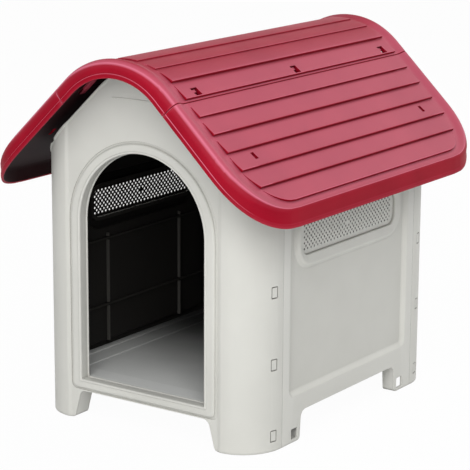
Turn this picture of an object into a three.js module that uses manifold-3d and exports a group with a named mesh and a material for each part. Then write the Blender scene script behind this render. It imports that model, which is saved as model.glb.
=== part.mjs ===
// A snap-together plastic dog house: four moulded wall panels and a raised floor under
// a three-piece weatherboard roof that lifts off for cleaning.
// Millimetres, +Z up. The doorway faces -Y, +X is to the right of someone who looks
// at it, and the origin is on the ground under the middle of the house.
import * as THREE from "three";
import { mergeVertices } from "three/addons/utils/BufferGeometryUtils.js";
import Module from "manifold-3d";

const wasm = await Module();
wasm.setup();

// ---------------------------------------------------------------- driving dimensions

const clearance = 0.3; // between mouldings that seat on or beside each other

// walls
const bodyWidth = 472; // over the outer faces of the side walls
const bodyLength = 590; // over the outer faces of the front and rear panels
const sideWallHeight = 459.8;
const wallThickness = 4;
const cornerRadius = 74; // upright corners, in plan
const wrapLength = 79.5; // front and rear panels run this far round onto the sides
const ribThickness = 3;
const ribDepth = 7;

// feet and the arches between them
const frontArchHeight = 52.5;
const endFootWidth = 84; // of a foot's front or rear face, at the ground
const endFootTaper = 14; // that face is wider by this much at the top of the arch
const sideArchHeight = 51;
const sideFootWidth = 55.5; // of a side wall's part of a foot, at the ground
const sideFootTaper = 4;
const archFillet = 14;
const toeRadius = 8;
const endReturnDepth = 17; // flange behind the doorway and the front and rear arches
const sideReturnDepth = 25; // flange behind the side arches
const soleWidth = 14;
const soleThickness = 3;
const footSlotInset = 28.5; // from the seam
const footSlotWidth = 19;
const footSlotLow = 6;
const footSlotHigh = 24.5;

// doorway
const doorHalfWidth = 132.2;
const doorSillHeight = 75.6;
const doorSpringHeight = 361.5; // where the round top starts
const surroundWidth = 20.6;
const surroundDrop = 16.6; // the surround's band below the sill
const surroundRelief = 4;
const surroundCornerRadius = 8;

// gables
const gableFlangeDepth = 24;
const gableLip = 4; // raised edge along both slopes of a gable
const gableLipRelief = 1.5;
const gableLineDrop = 52; // below the gable's top
const gableLineHalfWidth = 62;
const gableLineWidth = 2;
const gableLineRelief = 0.8;

// snap joints between the wraps and the side walls
const lockFirstHeight = 27;
const lockPitch = 125.5;
const lockCount = 4;
const lockInset = 15.5; // from the seam to a window
const lockWidth = 14;
const lockWindowHeight = 20.5;
const tongueHeight = 27;
const tongueThickness = 3;
const tongueOverrun = 3; // a tongue past its window
const tongueRoot = 11; // a tongue's length inside the side wall
const padMargin = 1.4; // open line round the pad in its window

// recessed field of the side walls
const recessMargin = 21.5; // from the seam
const recessLow = 82.5;
const recessHigh = 446;
const recessDepth = 8;
const recessCornerRadius = 14;
const sideTopFlange = 14;
const innerRibOffset = 110;

// vent in each side wall
const ventHeight = 352.5; // its middle
const ventHalfLength = 173.5;
const ventHalfHeight = 54.5;
const ventCornerRadius = 46;
const ventCrestInset = 6;
const ventOpeningHalfLength = 154;
const ventOpeningHalfHeight = 30.5;
const ventOpeningRadius = 20;
const ventCollarDepth = 7; // collar behind the recessed field
const ventLip = 3; // ledge that the grille rests on
const grilleThickness = 3;
const grilleHoleRadius = 3.1;
const grilleRows = 5;
const grilleColumns = 13;
const grilleRowPitch = 9.4;
const grilleColumnPitch = 22.4;
const grilleHoleSides = 6;

// floor
const floorHeight = 75; // top of its rim
const floorThickness = 3.5;
const floorRimWidth = 15;
const floorRimRise = 2.5; // rim above the ledge inside it
const floorLedgeWidth = 35;
const floorLedgeRise = 2; // ledge above the floor's field
const floorCornerRadius = 60;
const floorSideGap = 0.8;
const floorRibCount = 4;
const floorRibDrop = 10;

// roof
const roofPitch = 43.7; // degrees
const roofLength = 750;
const roofStandoff = 21; // gable edge to the boards' plane, square to the slope
const ridgeRadius = 148.6; // of the boards' plane over the ridge
const roofThickness = 4;
const eaveHalfWidth = 294; // skirt's outer face
const eaveDrop = 30; // skirt's lower edge below the boards' plane
const endDrop = 26; // end fascia's lower edge, square to the slope
const beadHeight = 7;
const beadRelief = 1;
const fasciaFlare = 3; // end fascia leans out this much from crest to bead
const crestRise = 5; // rolled edge above the boards' plane at both ends
const crestInset = 14; // crest behind the outermost face
const crestRound = 7; // drop of the rolled edge's shoulder from its crest
const cornerFromEave = 113; // corner arcs' centre, from the crest of the eave
const cornerFromEnd = 118; // and from the roof's end
const capHalfWidth = 139.2; // ridge piece's half width, along its surface
const boardPitch = 38;
const ridgeBoardWidth = 41;
const boardRise = 4; // lower edge of each board
const boardEndInset = 43; // boards' ends behind the roof's end
const boardEaveInset = 15.5; // last board's edge from the eave's crest
const roofRibDepth = 9;
const roofRibOffset = 100;
const hookWidth = 18;
const hookOffset = 295;
const hookReach = 23; // tongue under the ridge piece
const hookWindowLength = 17;
const hookWindowMargin = 1.5;
const eaveSlotInset = 22.5; // behind the face of the front or rear panel
const eaveSlotInner = 206.5;
const eaveSlotOuter = 220;
const eaveSlotWidth = 4;
const tabThickness = 2.6;
const tabLength = 5;

// how finely curves are drawn
const cornerSegments = 9;
const doorSegments = 18;
const filletSegments = 4;
const ventSegments = 4;
const ridgeSegments = 12;
const roofCornerSegments = 7;

// ------------------------------------------------------------------- derived values

const halfWidth = bodyWidth / 2;
const halfLength = bodyLength / 2;
const seamAt = halfLength - wrapLength;
const pitch = THREE.MathUtils.degToRad(roofPitch);
const cosPitch = Math.cos(pitch);
const sinPitch = Math.sin(pitch);
const tanPitch = Math.tan(pitch);
const apexHeight = sideWallHeight + halfWidth * tanPitch + roofStandoff / cosPitch;
const ridgeCentreHeight = apexHeight - ridgeRadius / cosPitch;
const ridgeArc = ridgeRadius * pitch; // half the rounded ridge, along its surface
const slopeShift = ridgeRadius * tanPitch - ridgeArc;
const roofHalfLength = roofLength / 2;
const gableTop = ridgeCentreHeight + ridgeRadius - roofStandoff;
const gableLineHeight = gableTop - gableLineDrop;
const lockFrom = seamAt + lockInset;
const lockTo = lockFrom + lockWidth;
const footSlotTo = seamAt - footSlotInset;
const footSlotFrom = footSlotTo - footSlotWidth;
const recessHalfLength = seamAt - recessMargin;
const eaveSlotOffset = halfLength - eaveSlotInset;
const eaveCrest = eaveHalfWidth / cosPitch - slopeShift;
const boardsEnd = eaveCrest - boardEaveInset;
const recessFace = halfWidth - recessDepth;
const grilleFace = recessFace;
const grilleBack = grilleFace - grilleThickness;
const above = 1000; // beyond any part of the house

// ------------------------------------------------------------------ solids and shapes

// A closed geometry as a solid that can be joined and cut.
function solid(geometry) {
  const bare = geometry.clone();
  bare.deleteAttribute("normal");
  bare.deleteAttribute("uv");
  const merged = mergeVertices(bare, 1e-4);
  return new wasm.Manifold(
    new wasm.Mesh({
      numProp: 3,
      vertProperties: new Float32Array(merged.attributes.position.array),
      triVerts: new Uint32Array(merged.index.array),
    }),
  );
}

function joined(solids) {
  return solids.reduce((all, next) => all.add(next));
}

function cutBy(body, cutters) {
  return cutters.reduce((left, cutter) => left.subtract(cutter), body);
}

// A solid as a named mesh.
function named(name, body, material) {
  const { numProp, vertProperties, triVerts } = body.getMesh();
  const positions = new Float32Array((vertProperties.length / numProp) * 3);
  for (let i = 0; i < positions.length / 3; i++)
    for (let k = 0; k < 3; k++) positions[3 * i + k] = vertProperties[numProp * i + k];
  const geometry = new THREE.BufferGeometry();
  geometry.setAttribute("position", new THREE.BufferAttribute(positions, 3));
  geometry.setIndex(new THREE.BufferAttribute(new Uint32Array(triVerts), 1));
  const flat = geometry.toNonIndexed();
  flat.computeVertexNormals();
  const mesh = new THREE.Mesh(flat, material);
  mesh.name = name;
  return mesh;
}

// Prisms: a flat shape pushed along one axis. Their shapes are drawn as (x, y),
// as (x, z) and as (y, z).
function prism(shape, from, to, xAxis, yAxis, origin, segments) {
  const geometry = new THREE.ExtrudeGeometry(shape, {
    depth: to - from,
    bevelEnabled: false,
    curveSegments: segments,
  });
  const zAxis = new THREE.Vector3().crossVectors(xAxis, yAxis);
  const place = new THREE.Matrix4().makeBasis(xAxis, yAxis, zAxis).setPosition(origin);
  return solid(geometry.applyMatrix4(place));
}
const alongX = new THREE.Vector3(1, 0, 0);
const alongY = new THREE.Vector3(0, 1, 0);
const alongZ = new THREE.Vector3(0, 0, 1);
const prismX = (shape, from, to, segments = cornerSegments) =>
  prism(shape, from, to, alongY, alongZ, new THREE.Vector3(from, 0, 0), segments);
const prismY = (shape, from, to, segments = cornerSegments) =>
  prism(shape, from, to, alongX, alongZ, new THREE.Vector3(0, to, 0), segments);
const prismZ = (shape, from, to, segments = cornerSegments) =>
  prism(shape, from, to, alongX, alongY, new THREE.Vector3(0, 0, from), segments);

function box(x0, x1, y0, y1, z0, z1) {
  const geometry = new THREE.BoxGeometry(x1 - x0, y1 - y0, z1 - z0);
  return solid(geometry.translate((x0 + x1) / 2, (y0 + y1) / 2, (z0 + z1) / 2));
}

// A polygon whose corners [x, y, radius] are rounded by arcs.
function roundedPolygon(corners, segments = filletSegments) {
  const points = [];
  corners.forEach(([x, y, radius], i) => {
    const here = new THREE.Vector2(x, y);
    if (!radius) {
      points.push(here);
      return;
    }
    const [px, py] = corners[(i + corners.length - 1) % corners.length];
    const [nx, ny] = corners[(i + 1) % corners.length];
    const back = new THREE.Vector2(px - x, py - y).normalize();
    const ahead = new THREE.Vector2(nx - x, ny - y).normalize();
    const halfAngle = Math.acos(THREE.MathUtils.clamp(back.dot(ahead), -1, 1)) / 2;
    const toTangent = radius / Math.tan(halfAngle);
    const start = here.clone().addScaledVector(back, toTangent);
    const end = here.clone().addScaledVector(ahead, toTangent);
    const inward = back.clone().add(ahead).normalize();
    const centre = here.clone().addScaledVector(inward, radius / Math.sin(halfAngle));
    const from = start.clone().sub(centre).angle();
    let sweep = end.clone().sub(centre).angle() - from;
    if (sweep > Math.PI) sweep -= 2 * Math.PI;
    if (sweep < -Math.PI) sweep += 2 * Math.PI;
    for (let k = 0; k <= segments; k++) {
      const angle = from + (sweep * k) / segments;
      const spoke = new THREE.Vector2(Math.cos(angle), Math.sin(angle));
      points.push(centre.clone().addScaledVector(spoke, radius));
    }
  });
  return points;
}
const roundedShape = (corners, segments) => new THREE.Shape(roundedPolygon(corners, segments));

function rectangle(x0, x1, y0, y1, radius = 0, segments = filletSegments) {
  return roundedPolygon(
    [
      [x0, y0, radius],
      [x1, y0, radius],
      [x1, y1, radius],
      [x0, y1, radius],
    ],
    segments,
  );
}

// A solid through rings of as many points each, closed by flat or striped ends.
function loft(rings, capQuads) {
  const count = rings[0].length;
  const positions = rings.flat().flatMap((p) => [p.x, p.y, p.z]);
  const index = [];
  for (let r = 0; r + 1 < rings.length; r++)
    for (let i = 0; i < count; i++) {
      const a = r * count + i;
      const b = r * count + ((i + 1) % count);
      index.push(a, b, b + count, a, b + count, a + count);
    }
  const last = (rings.length - 1) * count;
  for (const [a, b, c] of capQuads) {
    index.push(c, b, a);
    index.push(last + a, last + b, last + c);
  }
  const geometry = new THREE.BufferGeometry();
  geometry.setAttribute("position", new THREE.Float32BufferAttribute(positions, 3));
  geometry.setIndex(index);
  const made = solid(geometry);
  if (made.volume() > 0) return made;
  for (let i = 0; i < index.length; i += 3)
    [index[i + 1], index[i + 2]] = [index[i + 2], index[i + 1]];
  geometry.setIndex(index);
  return solid(geometry);
}
const fan = (count) => Array.from({ length: count - 2 }, (_, i) => [0, i + 1, i + 2]);

// A block whose upright faces lean: rounded rectangles in (y, z) at two or more x.
function sideLoft(levels, segments = filletSegments) {
  const rings = levels.map(({ x, halfLength: half, low, high, radius }) =>
    rectangle(-half, half, low, high, radius, segments).map(
      (p) => new THREE.Vector3(x, p.x, p.y),
    ),
  );
  return loft(rings, fan(rings[0].length));
}

// -------------------------------------------------------------------- slope surfaces

// A point of the roof: u runs over the ridge along the boards' plane, h stands off it.
function onRoof(u, y, h) {
  const side = Math.sign(u);
  const run = Math.abs(u);
  if (run <= ridgeArc) {
    const angle = u / ridgeRadius;
    const radius = ridgeRadius + h;
    return new THREE.Vector3(
      radius * Math.sin(angle),
      y,
      ridgeCentreHeight + radius * Math.cos(angle),
    );
  }
  const s = run + slopeShift;
  return new THREE.Vector3(
    side * (s * cosPitch + h * sinPitch),
    y,
    apexHeight - s * sinPitch + h * cosPitch,
  );
}

// Stations along u between two places, close enough together over the ridge.
function stations(from, to) {
  const inner = [];
  for (let i = 0; i <= ridgeSegments; i++) inner.push(ridgeArc * ((2 * i) / ridgeSegments - 1));
  return [from, ...inner.filter((u) => u > from + 0.5 && u < to - 0.5), to];
}

// The (x, z) outline of a layer of the roof from u0 to u1 and from h0 to h1.
function slopeBand(u0, u1, h0, h1) {
  const run = stations(u0, u1);
  const top = run.map((u) => onRoof(u, 0, h1));
  const bottom = run.map((u) => onRoof(u, 0, h0)).reverse();
  return new THREE.Shape([...top, ...bottom].reverse().map((p) => new THREE.Vector2(p.x, p.z)));
}
const slopeBlock = (u0, u1, h0, h1, y0, y1) => prismY(slopeBand(u0, u1, h0, h1), y0, y1);

// Everything under the roof surface that stands off the boards' plane by h.
function underRoof(h, y0, y1) {
  const reach = halfWidth + above / 4;
  const run = stations(-reach, reach).map((u) => onRoof(u, 0, h));
  const outline = run.map((p) => new THREE.Vector2(p.x, p.z)).reverse();
  outline.push(new THREE.Vector2(run[0].x, -above / 4));
  outline.push(new THREE.Vector2(run[run.length - 1].x, -above / 4));
  return prismY(new THREE.Shape(outline), y0, y1);
}

// ---------------------------------------------------------- front and rear panels

const planSolid = (z0, z1, inset = 0) =>
  prismZ(
    new THREE.Shape(
      rectangle(
        -halfWidth + inset,
        halfWidth - inset,
        -halfLength + inset,
        halfLength - inset,
        cornerRadius - inset,
        cornerSegments,
      ),
    ),
    z0,
    z1,
  );

// An upright wall that follows the body's plan, between two insets from its face.
const planWall = (z0, z1, outer, inner) =>
  planSolid(z0, z1, outer).subtract(planSolid(z0 - 1, z1 + 1, inner));

function archShape(height, halfTop, halfFoot, grow) {
  const ground = -above / 50;
  const outside = halfFoot + 3 * toeRadius;
  return roundedShape([
    [-outside, ground, 0],
    [outside, ground, 0],
    [outside, -1, 0],
    [halfFoot + grow, 0, toeRadius],
    [halfTop + grow, height + grow, archFillet],
    [-halfTop - grow, height + grow, archFillet],
    [-halfFoot - grow, 0, toeRadius],
    [-outside, -1, 0],
  ]);
}
const endArchFoot = halfWidth - endFootWidth;
const sideArchFoot = seamAt - sideFootWidth;
const endArch = (grow) =>
  archShape(frontArchHeight, endArchFoot - endFootTaper, endArchFoot, grow);
const sideArch = (grow) =>
  archShape(sideArchHeight, sideArchFoot - sideFootTaper, sideArchFoot, grow);

function doorShape(grow, growBelow, radius) {
  const half = doorHalfWidth + grow;
  const low = doorSillHeight - growBelow;
  const corners = [
    [-half, low, radius],
    [half, low, radius],
  ];
  for (let k = 0; k <= doorSegments; k++) {
    const angle = (Math.PI * k) / doorSegments;
    const rise = half * Math.sin(angle);
    corners.push([half * Math.cos(angle), doorSpringHeight + rise, 0]);
  }
  return roundedShape(corners);
}

const lockHeights = Array.from({ length: lockCount }, (_, i) => lockFirstHeight + i * lockPitch);

function lockWindows() {
  const cutters = [];
  for (const height of lockHeights)
    for (const side of [-1, 1])
      cutters.push(
        box(
          side * halfWidth - 2 * wallThickness,
          side * halfWidth + 2 * wallThickness,
          -lockTo,
          -lockFrom,
          height - lockWindowHeight / 2,
          height + lockWindowHeight / 2,
        ),
      );
  return cutters;
}

// A gable end: its wall wraps round both corners, and flanges stiffen its edges.
function endPanel(hasDoor) {
  const face = -halfLength;
  const behind = -seamAt - clearance / 2;
  const gable = underRoof(-roofStandoff, face - 2 * surroundRelief, behind);
  const gableInner = underRoof(-roofStandoff - gableLip, face - 2 * surroundRelief, behind);
  const arch = prismY(endArch(0), face - surroundRelief, face + gableFlangeDepth);
  const front = box(-halfWidth, halfWidth, face, behind, 0, above);

  const wall = planWall(0, above, 0, wallThickness).intersect(front).intersect(gable);
  const lip = planWall(1, above, -gableLipRelief, wallThickness / 2)
    .intersect(box(-above, above, face - gableLipRelief, face + cornerRadius / 2, 0, above))
    .intersect(gable)
    .subtract(gableInner);
  const flange = planSolid(1, above, wallThickness / 2)
    .intersect(gable)
    .intersect(box(-above, above, face, face + gableFlangeDepth, 0, above))
    .subtract(gableInner);
  const archFlange = prismY(endArch(wallThickness), face + 1, face + endReturnDepth)
    .intersect(planSolid(soleThickness / 2, frontArchHeight + wallThickness, 1))
    .intersect(box(-above, above, face, behind, 0, above));
  const sole = planWall(0, soleThickness, wallThickness / 2, soleWidth).intersect(front);
  const line = box(
    -gableLineHalfWidth,
    gableLineHalfWidth,
    face - gableLineRelief,
    face + 1,
    gableLineHeight - gableLineWidth / 2,
    gableLineHeight + gableLineWidth / 2,
  );
  const tabs = [-1, 1].map((side) => {
    const near = side * (eaveSlotInner + clearance * 3);
    const far = near + side * tabLength;
    return box(
      Math.min(near, far),
      Math.max(near, far),
      -eaveSlotOffset - tabThickness / 2,
      -eaveSlotOffset + tabThickness / 2,
      apexHeight - (eaveSlotOuter + roofStandoff) * tanPitch - roofStandoff / cosPitch,
      apexHeight - eaveSlotInner * tanPitch - roofThickness * 1.6,
    );
  });
  const pieces = [wall, lip, flange, archFlange, sole, line, ...tabs];
  if (hasDoor) {
    const surround = doorShape(surroundWidth, surroundDrop, surroundCornerRadius);
    pieces.push(prismY(surround, face - surroundRelief, face + 1));
    const jamb = doorShape(wallThickness, wallThickness, 0);
    pieces.push(prismY(jamb, face - 1, face + endReturnDepth));
  } else {
    for (const height of [lockHeights[1], lockHeights[2]])
      pieces.push(
        box(
          -halfWidth + cornerRadius,
          halfWidth - cornerRadius,
          face + 1,
          face + wallThickness + ribDepth,
          height - ribThickness / 2,
          height + ribThickness / 2,
        ),
      );
  }
  const cutters = [arch, ...lockWindows()];
  if (hasDoor) cutters.push(prismY(doorShape(0, 0, 0), face - above / 10, face + above / 10));
  return cutBy(joined(pieces), cutters);
}

// -------------------------------------------------------------------- side walls

const ventRing = (x, inset) => ({
  x,
  halfLength: ventHalfLength - inset,
  low: ventHeight - ventHalfHeight + inset,
  high: ventHeight + ventHalfHeight - inset,
  radius: ventCornerRadius - inset,
});
const openingRing = (x, grow) => ({
  x,
  halfLength: ventOpeningHalfLength + grow,
  low: ventHeight - ventOpeningHalfHeight - grow,
  high: ventHeight + ventOpeningHalfHeight + grow,
  radius: ventOpeningRadius + grow,
});
const recessRing = (x, inset) => ({
  x,
  halfLength: recessHalfLength - inset,
  low: recessLow + inset,
  high: recessHigh - inset,
  radius: Math.max(recessCornerRadius - inset, 1),
});

// The tongues of one end, which reach behind the neighbour's wrap and fill its windows.
function tongues() {
  const outer = wallThickness + clearance;
  const root = -seamAt + tongueRoot;
  return lockHeights.flatMap((height) => {
    const low = height - tongueHeight / 2;
    const high = height + tongueHeight / 2;
    const reach = planWall(low, high, outer, outer + tongueThickness).intersect(
      box(0, above, -lockTo - tongueOverrun, root, 0, above),
    );
    const rootBlock = box(
      halfWidth - outer - tongueThickness,
      halfWidth - wallThickness + 1,
      -seamAt + clearance,
      root,
      low,
      high,
    );
    const padHalf = lockWindowHeight / 2 - padMargin;
    const pad = planWall(height - padHalf, height + padHalf, 1, outer + 1).intersect(
      box(0, above, -lockTo + padMargin, -lockFrom - padMargin, 0, above),
    );
    return [reach, rootBlock, pad];
  });
}

// The right-hand side wall. The left one is its mirror image.
function sideWall() {
  const end = seamAt - clearance / 2;
  const inner = halfWidth - wallThickness;
  const top = sideWallHeight - clearance;
  const backShift = wallThickness * (Math.SQRT2 - 1);
  const recessBack = recessFace - wallThickness;

  const plate = box(inner, halfWidth, -end, end, 0, top);
  const dish = sideLoft([
    recessRing(recessBack, recessDepth - wallThickness * Math.SQRT2 + backShift),
    recessRing(inner + 1, -backShift),
  ]);
  const recess = sideLoft([
    recessRing(recessFace, recessDepth),
    recessRing(halfWidth + 1, -1),
  ]);
  const bezel = sideLoft(
    [
      ventRing(recessBack, 0),
      ventRing(recessFace, 0),
      ventRing(halfWidth - 2, 2),
      ventRing(halfWidth - 0.5, ventCrestInset),
    ],
    ventSegments,
  );
  const bezelBand = sideLoft(
    [openingRing(recessFace + 1, 0), openingRing(halfWidth + 1, 14)],
    ventSegments,
  );
  const bezelBack = sideLoft(
    [
      ventRing(recessBack - 1, wallThickness),
      ventRing(recessFace + 2, wallThickness + 3),
    ],
    ventSegments,
  ).subtract(sideLoft([openingRing(recessBack - 2, 4), openingRing(halfWidth, 4)], ventSegments));
  const collar = sideLoft(
    [openingRing(recessFace - ventCollarDepth, 4), openingRing(recessFace, 4)],
    ventSegments,
  );
  const grilleSeat = sideLoft(
    [openingRing(grilleBack - clearance, 0), openingRing(halfWidth, 0)],
    ventSegments,
  );
  const ventHole = sideLoft(
    [openingRing(0, -ventLip), openingRing(halfWidth, -ventLip)],
    ventSegments,
  );

  const ribs = [-1, 1].map((way) => {
    const y = way * innerRibOffset;
    const ribTop = ventHeight - ventOpeningHalfHeight - 4;
    const ribLow = recessLow + wallThickness / 2;
    return box(
      recessBack - ribDepth,
      recessBack + 1,
      y - ribThickness / 2,
      y + ribThickness / 2,
      ribLow,
      ribTop,
    );
  });
  for (const height of [lockHeights[1], lockHeights[2]])
    ribs.push(
      box(
        recessBack - ribDepth,
        recessBack + 1,
        -recessHalfLength + recessDepth / 2,
        recessHalfLength - recessDepth / 2,
        height - ribThickness / 2,
        height + ribThickness / 2,
      ),
    );
  const archReturn = prismX(sideArch(wallThickness), halfWidth - sideReturnDepth, halfWidth - 1)
    .intersect(box(0, above, -end, end, soleThickness / 2, above));
  const soles = box(halfWidth - soleWidth, halfWidth - 1, -end, end, 0, soleThickness);
  const topFlange = box(halfWidth - sideTopFlange, inner + 1, -end, end, top - ribThickness, top);
  const front = tongues();
  const mirrored = front.map((piece) => piece.mirror([0, 1, 0]));

  const body = joined([plate, dish, ...ribs, archReturn, soles, topFlange, ...front, ...mirrored]);
  const dished = body.subtract(recess);
  const vented = joined([dished, bezel, collar]);
  const slots = [-1, 1].map((way) => {
    const near = Math.min(way * footSlotFrom, way * footSlotTo);
    const far = Math.max(way * footSlotFrom, way * footSlotTo);
    return box(inner - 1, halfWidth + 1, near, far, footSlotLow, footSlotHigh);
  });
  const arch = prismX(sideArch(0), halfWidth - 2 * sideReturnDepth, halfWidth + 1);
  return cutBy(vented, [bezelBand, bezelBack, grilleSeat, ventHole, arch, ...slots]);
}

// The perforated plate that drops into the vent from outside. Its holes stand in
// staggered rows; hidden ends of a row stay clear of the plate's edge.
function grillePlate() {
  const ring = openingRing(0, -clearance);
  const plate = new THREE.Shape(
    rectangle(-ring.halfLength, ring.halfLength, ring.low, ring.high, ring.radius),
  );
  for (let row = 0; row < grilleRows; row++) {
    const stagger = row % 2;
    const columns = grilleColumns - stagger;
    const z = ventHeight + (row - (grilleRows - 1) / 2) * grilleRowPitch;
    for (let column = 0; column < columns; column++) {
      const y = (column - (columns - 1) / 2) * grilleColumnPitch;
      const hole = new THREE.Path();
      for (let k = 0; k < grilleHoleSides; k++) {
        const angle = (-2 * Math.PI * k) / grilleHoleSides;
        const px = y + grilleHoleRadius * Math.cos(angle);
        const py = z + grilleHoleRadius * Math.sin(angle);
        if (k) hole.lineTo(px, py);
        else hole.moveTo(px, py);
      }
      hole.closePath();
      plate.holes.push(hole);
    }
  }
  return prismX(plate, grilleBack, grilleFace);
}

// --------------------------------------------------------------------------- floor

function floorPanel() {
  const halfX = halfWidth - wallThickness - floorSideGap;
  const halfY = halfLength - endReturnDepth - clearance;
  const skirtLow = sideArchHeight + wallThickness + clearance;
  const outline = (inset) =>
    new THREE.Shape(
      rectangle(
        -halfX + inset,
        halfX - inset,
        -halfY + inset,
        halfY - inset,
        floorCornerRadius - inset,
        filletSegments + 2,
      ),
    );
  const rimTop = prismZ(outline(0), skirtLow, floorHeight);
  const ledgeHeight = floorHeight - floorRimRise;
  const fieldHeight = ledgeHeight - floorLedgeRise;
  const ledge = prismZ(outline(floorRimWidth), ledgeHeight, floorHeight + 1);
  const field = prismZ(outline(floorRimWidth + floorLedgeWidth), fieldHeight, floorHeight + 1);
  const fieldBottom = fieldHeight - floorThickness;
  const hollow = prismZ(outline(ribThickness), skirtLow - 1, fieldBottom);
  const ribs = [];
  for (let i = 0; i < floorRibCount; i++) {
    const share = (i + 1) / (floorRibCount + 1) - 0.5;
    const x = 2 * halfX * share;
    const y = 2 * halfY * share;
    const low = fieldBottom - floorRibDrop;
    ribs.push(
      box(x - ribThickness / 2, x + ribThickness / 2, -halfY + 1, halfY - 1, low, fieldBottom + 1),
      box(-halfX + 1, halfX - 1, y - ribThickness / 2, y + ribThickness / 2, low, fieldBottom + 1),
    );
  }
  return joined([cutBy(rimTop, [ledge, field, hollow]), ...ribs]);
}

// ---------------------------------------------------------------------------- roof

// A ring round the roof: u and y are its reach, hEave and hEnd its stand-off there.
// Its corners are arcs about the same centres, and both halves have as many points.
function roofRing({ u, y, hEave, hEnd }) {
  const centreU = eaveCrest - cornerFromEave;
  const centreY = roofHalfLength - cornerFromEnd;
  const half = [];
  const quarter = (side, k) => {
    const angle = (Math.PI / 2) * (k / roofCornerSegments);
    const h = hEave + (hEnd - hEave) * Math.sin(angle) ** 2;
    const across = centreU + (u - centreU) * Math.cos(angle);
    const along = centreY + (y - centreY) * Math.sin(angle);
    half.push({ u: side * across, y: along, h });
  };
  for (let k = 0; k <= roofCornerSegments; k++) quarter(-1, k);
  for (const inner of stations(-centreU, centreU).slice(1, -1)) half.push({ u: inner, y, h: hEnd });
  for (let k = roofCornerSegments; k >= 0; k--) quarter(1, k);
  const front = half.map((p) => onRoof(p.u, -p.y, p.h));
  const rear = half.map((p) => onRoof(p.u, p.y, p.h)).reverse();
  return [...front, ...rear];
}

// Strips from the front half of such a ring to its rear half.
function roofStrips(count) {
  const triangles = [];
  for (let i = 0; i + 1 < count / 2; i++) {
    const j = count - 1 - i;
    triangles.push([i, i + 1, j]);
    triangles.push([i + 1, j - 1, j]);
  }
  return triangles;
}

// u and h of a place on the skirt, from its x and its drop below the boards' plane.
function skirt(x, drop) {
  return { u: x / cosPitch + drop * sinPitch - slopeShift, hEave: -drop * cosPitch };
}

function roofShell() {
  const end = roofHalfLength;
  const face = end - fasciaFlare;
  const beadFace = eaveHalfWidth + beadRelief;
  const inside = eaveHalfWidth - roofThickness + beadRelief;
  const beadTop = endDrop - beadHeight;
  const rings = [
    { u: eaveCrest - 8, y: end - 33, hEave: 0, hEnd: 0 },
    { u: eaveCrest - 5.5, y: end - crestInset - 10, hEave: 0.4, hEnd: crestRise * 0.5 },
    { u: eaveCrest - 2.5, y: end - crestInset, hEave: 0.8, hEnd: crestRise },
    { u: eaveCrest + 0.8, y: face - 1.2, hEave: -0.9, hEnd: crestRise - crestRound },
    { ...skirt(eaveHalfWidth, 5.5), y: face, hEnd: -crestRound },
    { ...skirt(eaveHalfWidth, eaveDrop - beadHeight), y: end - beadRelief - 0.8, hEnd: -beadTop },
    { ...skirt(beadFace, eaveDrop - beadHeight + 1.5), y: end, hEnd: -beadTop - 1.5 },
    { ...skirt(beadFace, eaveDrop - 1), y: end, hEnd: 1 - endDrop },
    { ...skirt(eaveHalfWidth, eaveDrop), y: end - 1, hEnd: -endDrop },
    { ...skirt(inside, eaveDrop), y: end - roofThickness, hEnd: -endDrop },
    { ...skirt(inside - 0.5, 9), y: face - roofThickness, hEnd: -roofThickness - 3 },
    { u: eaveCrest - 5, y: face - roofThickness - 5, hEave: -roofThickness, hEnd: -roofThickness },
  ].map(roofRing);
  return loft(rings, roofStrips(rings[0].length));
}

// The weatherboards: each is flush at its upper edge and stands proud at its lower one.
function boards() {
  const profile = [];
  const half = ridgeBoardWidth / 2;
  const capCount = Math.floor((capHalfWidth - half) / boardPitch);
  const rise = (from, to, reach) => {
    profile.push([from, 0]);
    const middle = Math.min(to, from + boardPitch / 2);
    if (middle < to && from < ridgeArc) profile.push([middle, boardRise / 2]);
    profile.push([to, (boardRise * reach) / boardPitch]);
  };
  profile.push([0, boardRise], [half, boardRise]);
  for (let i = 0; i < capCount; i++) {
    const from = half + i * boardPitch;
    rise(from, from + boardPitch, boardPitch);
  }
  const capEdge = half + capCount * boardPitch;
  profile.push([capEdge, 0], [capHalfWidth, 0]);
  const slopeCount = Math.floor((boardsEnd - capHalfWidth) / boardPitch);
  const firstEdge = boardsEnd - slopeCount * boardPitch;
  rise(capHalfWidth, firstEdge, boardPitch);
  for (let i = 0; i < slopeCount; i++) {
    const from = firstEdge + i * boardPitch;
    const beyond = i === slopeCount - 1 ? boardPitch / 4 : 0;
    rise(from, from + boardPitch + beyond, boardPitch + beyond);
  }
  const right = profile.map(([u, h]) => onRoof(u, 0, h));
  const left = profile.slice(1).map(([u, h]) => onRoof(-u, 0, h)).reverse();
  const under = stations(-boardsEnd - boardPitch / 4, boardsEnd + boardPitch / 4);
  const bottom = under.map((u) => onRoof(u, 0, -roofThickness / 2)).reverse();
  const outline = [...left, ...right, ...bottom].map((p) => new THREE.Vector2(p.x, p.z));
  const sawtooth = prismY(new THREE.Shape(outline.reverse()), -roofHalfLength, roofHalfLength);
  const reach = { u: boardsEnd, y: roofHalfLength - boardEndInset };
  const field = loft(
    [
      roofRing({ ...reach, hEave: -roofThickness, hEnd: -roofThickness }),
      roofRing({ ...reach, hEave: 2 * boardRise, hEnd: 2 * boardRise }),
    ],
    roofStrips(roofRing({ ...reach, hEave: 0, hEnd: 0 }).length),
  );
  return sawtooth.intersect(field);
}

const hookPlaces = [-hookOffset, 0, hookOffset];
const onPlate = -roofThickness + 0.6; // inside the roof's plate, where ribs run into it
const bearingDrop = -roofStandoff + clearance; // just over a gable's edge
const bearingOffset = halfLength - gableFlangeDepth / 2;

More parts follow.
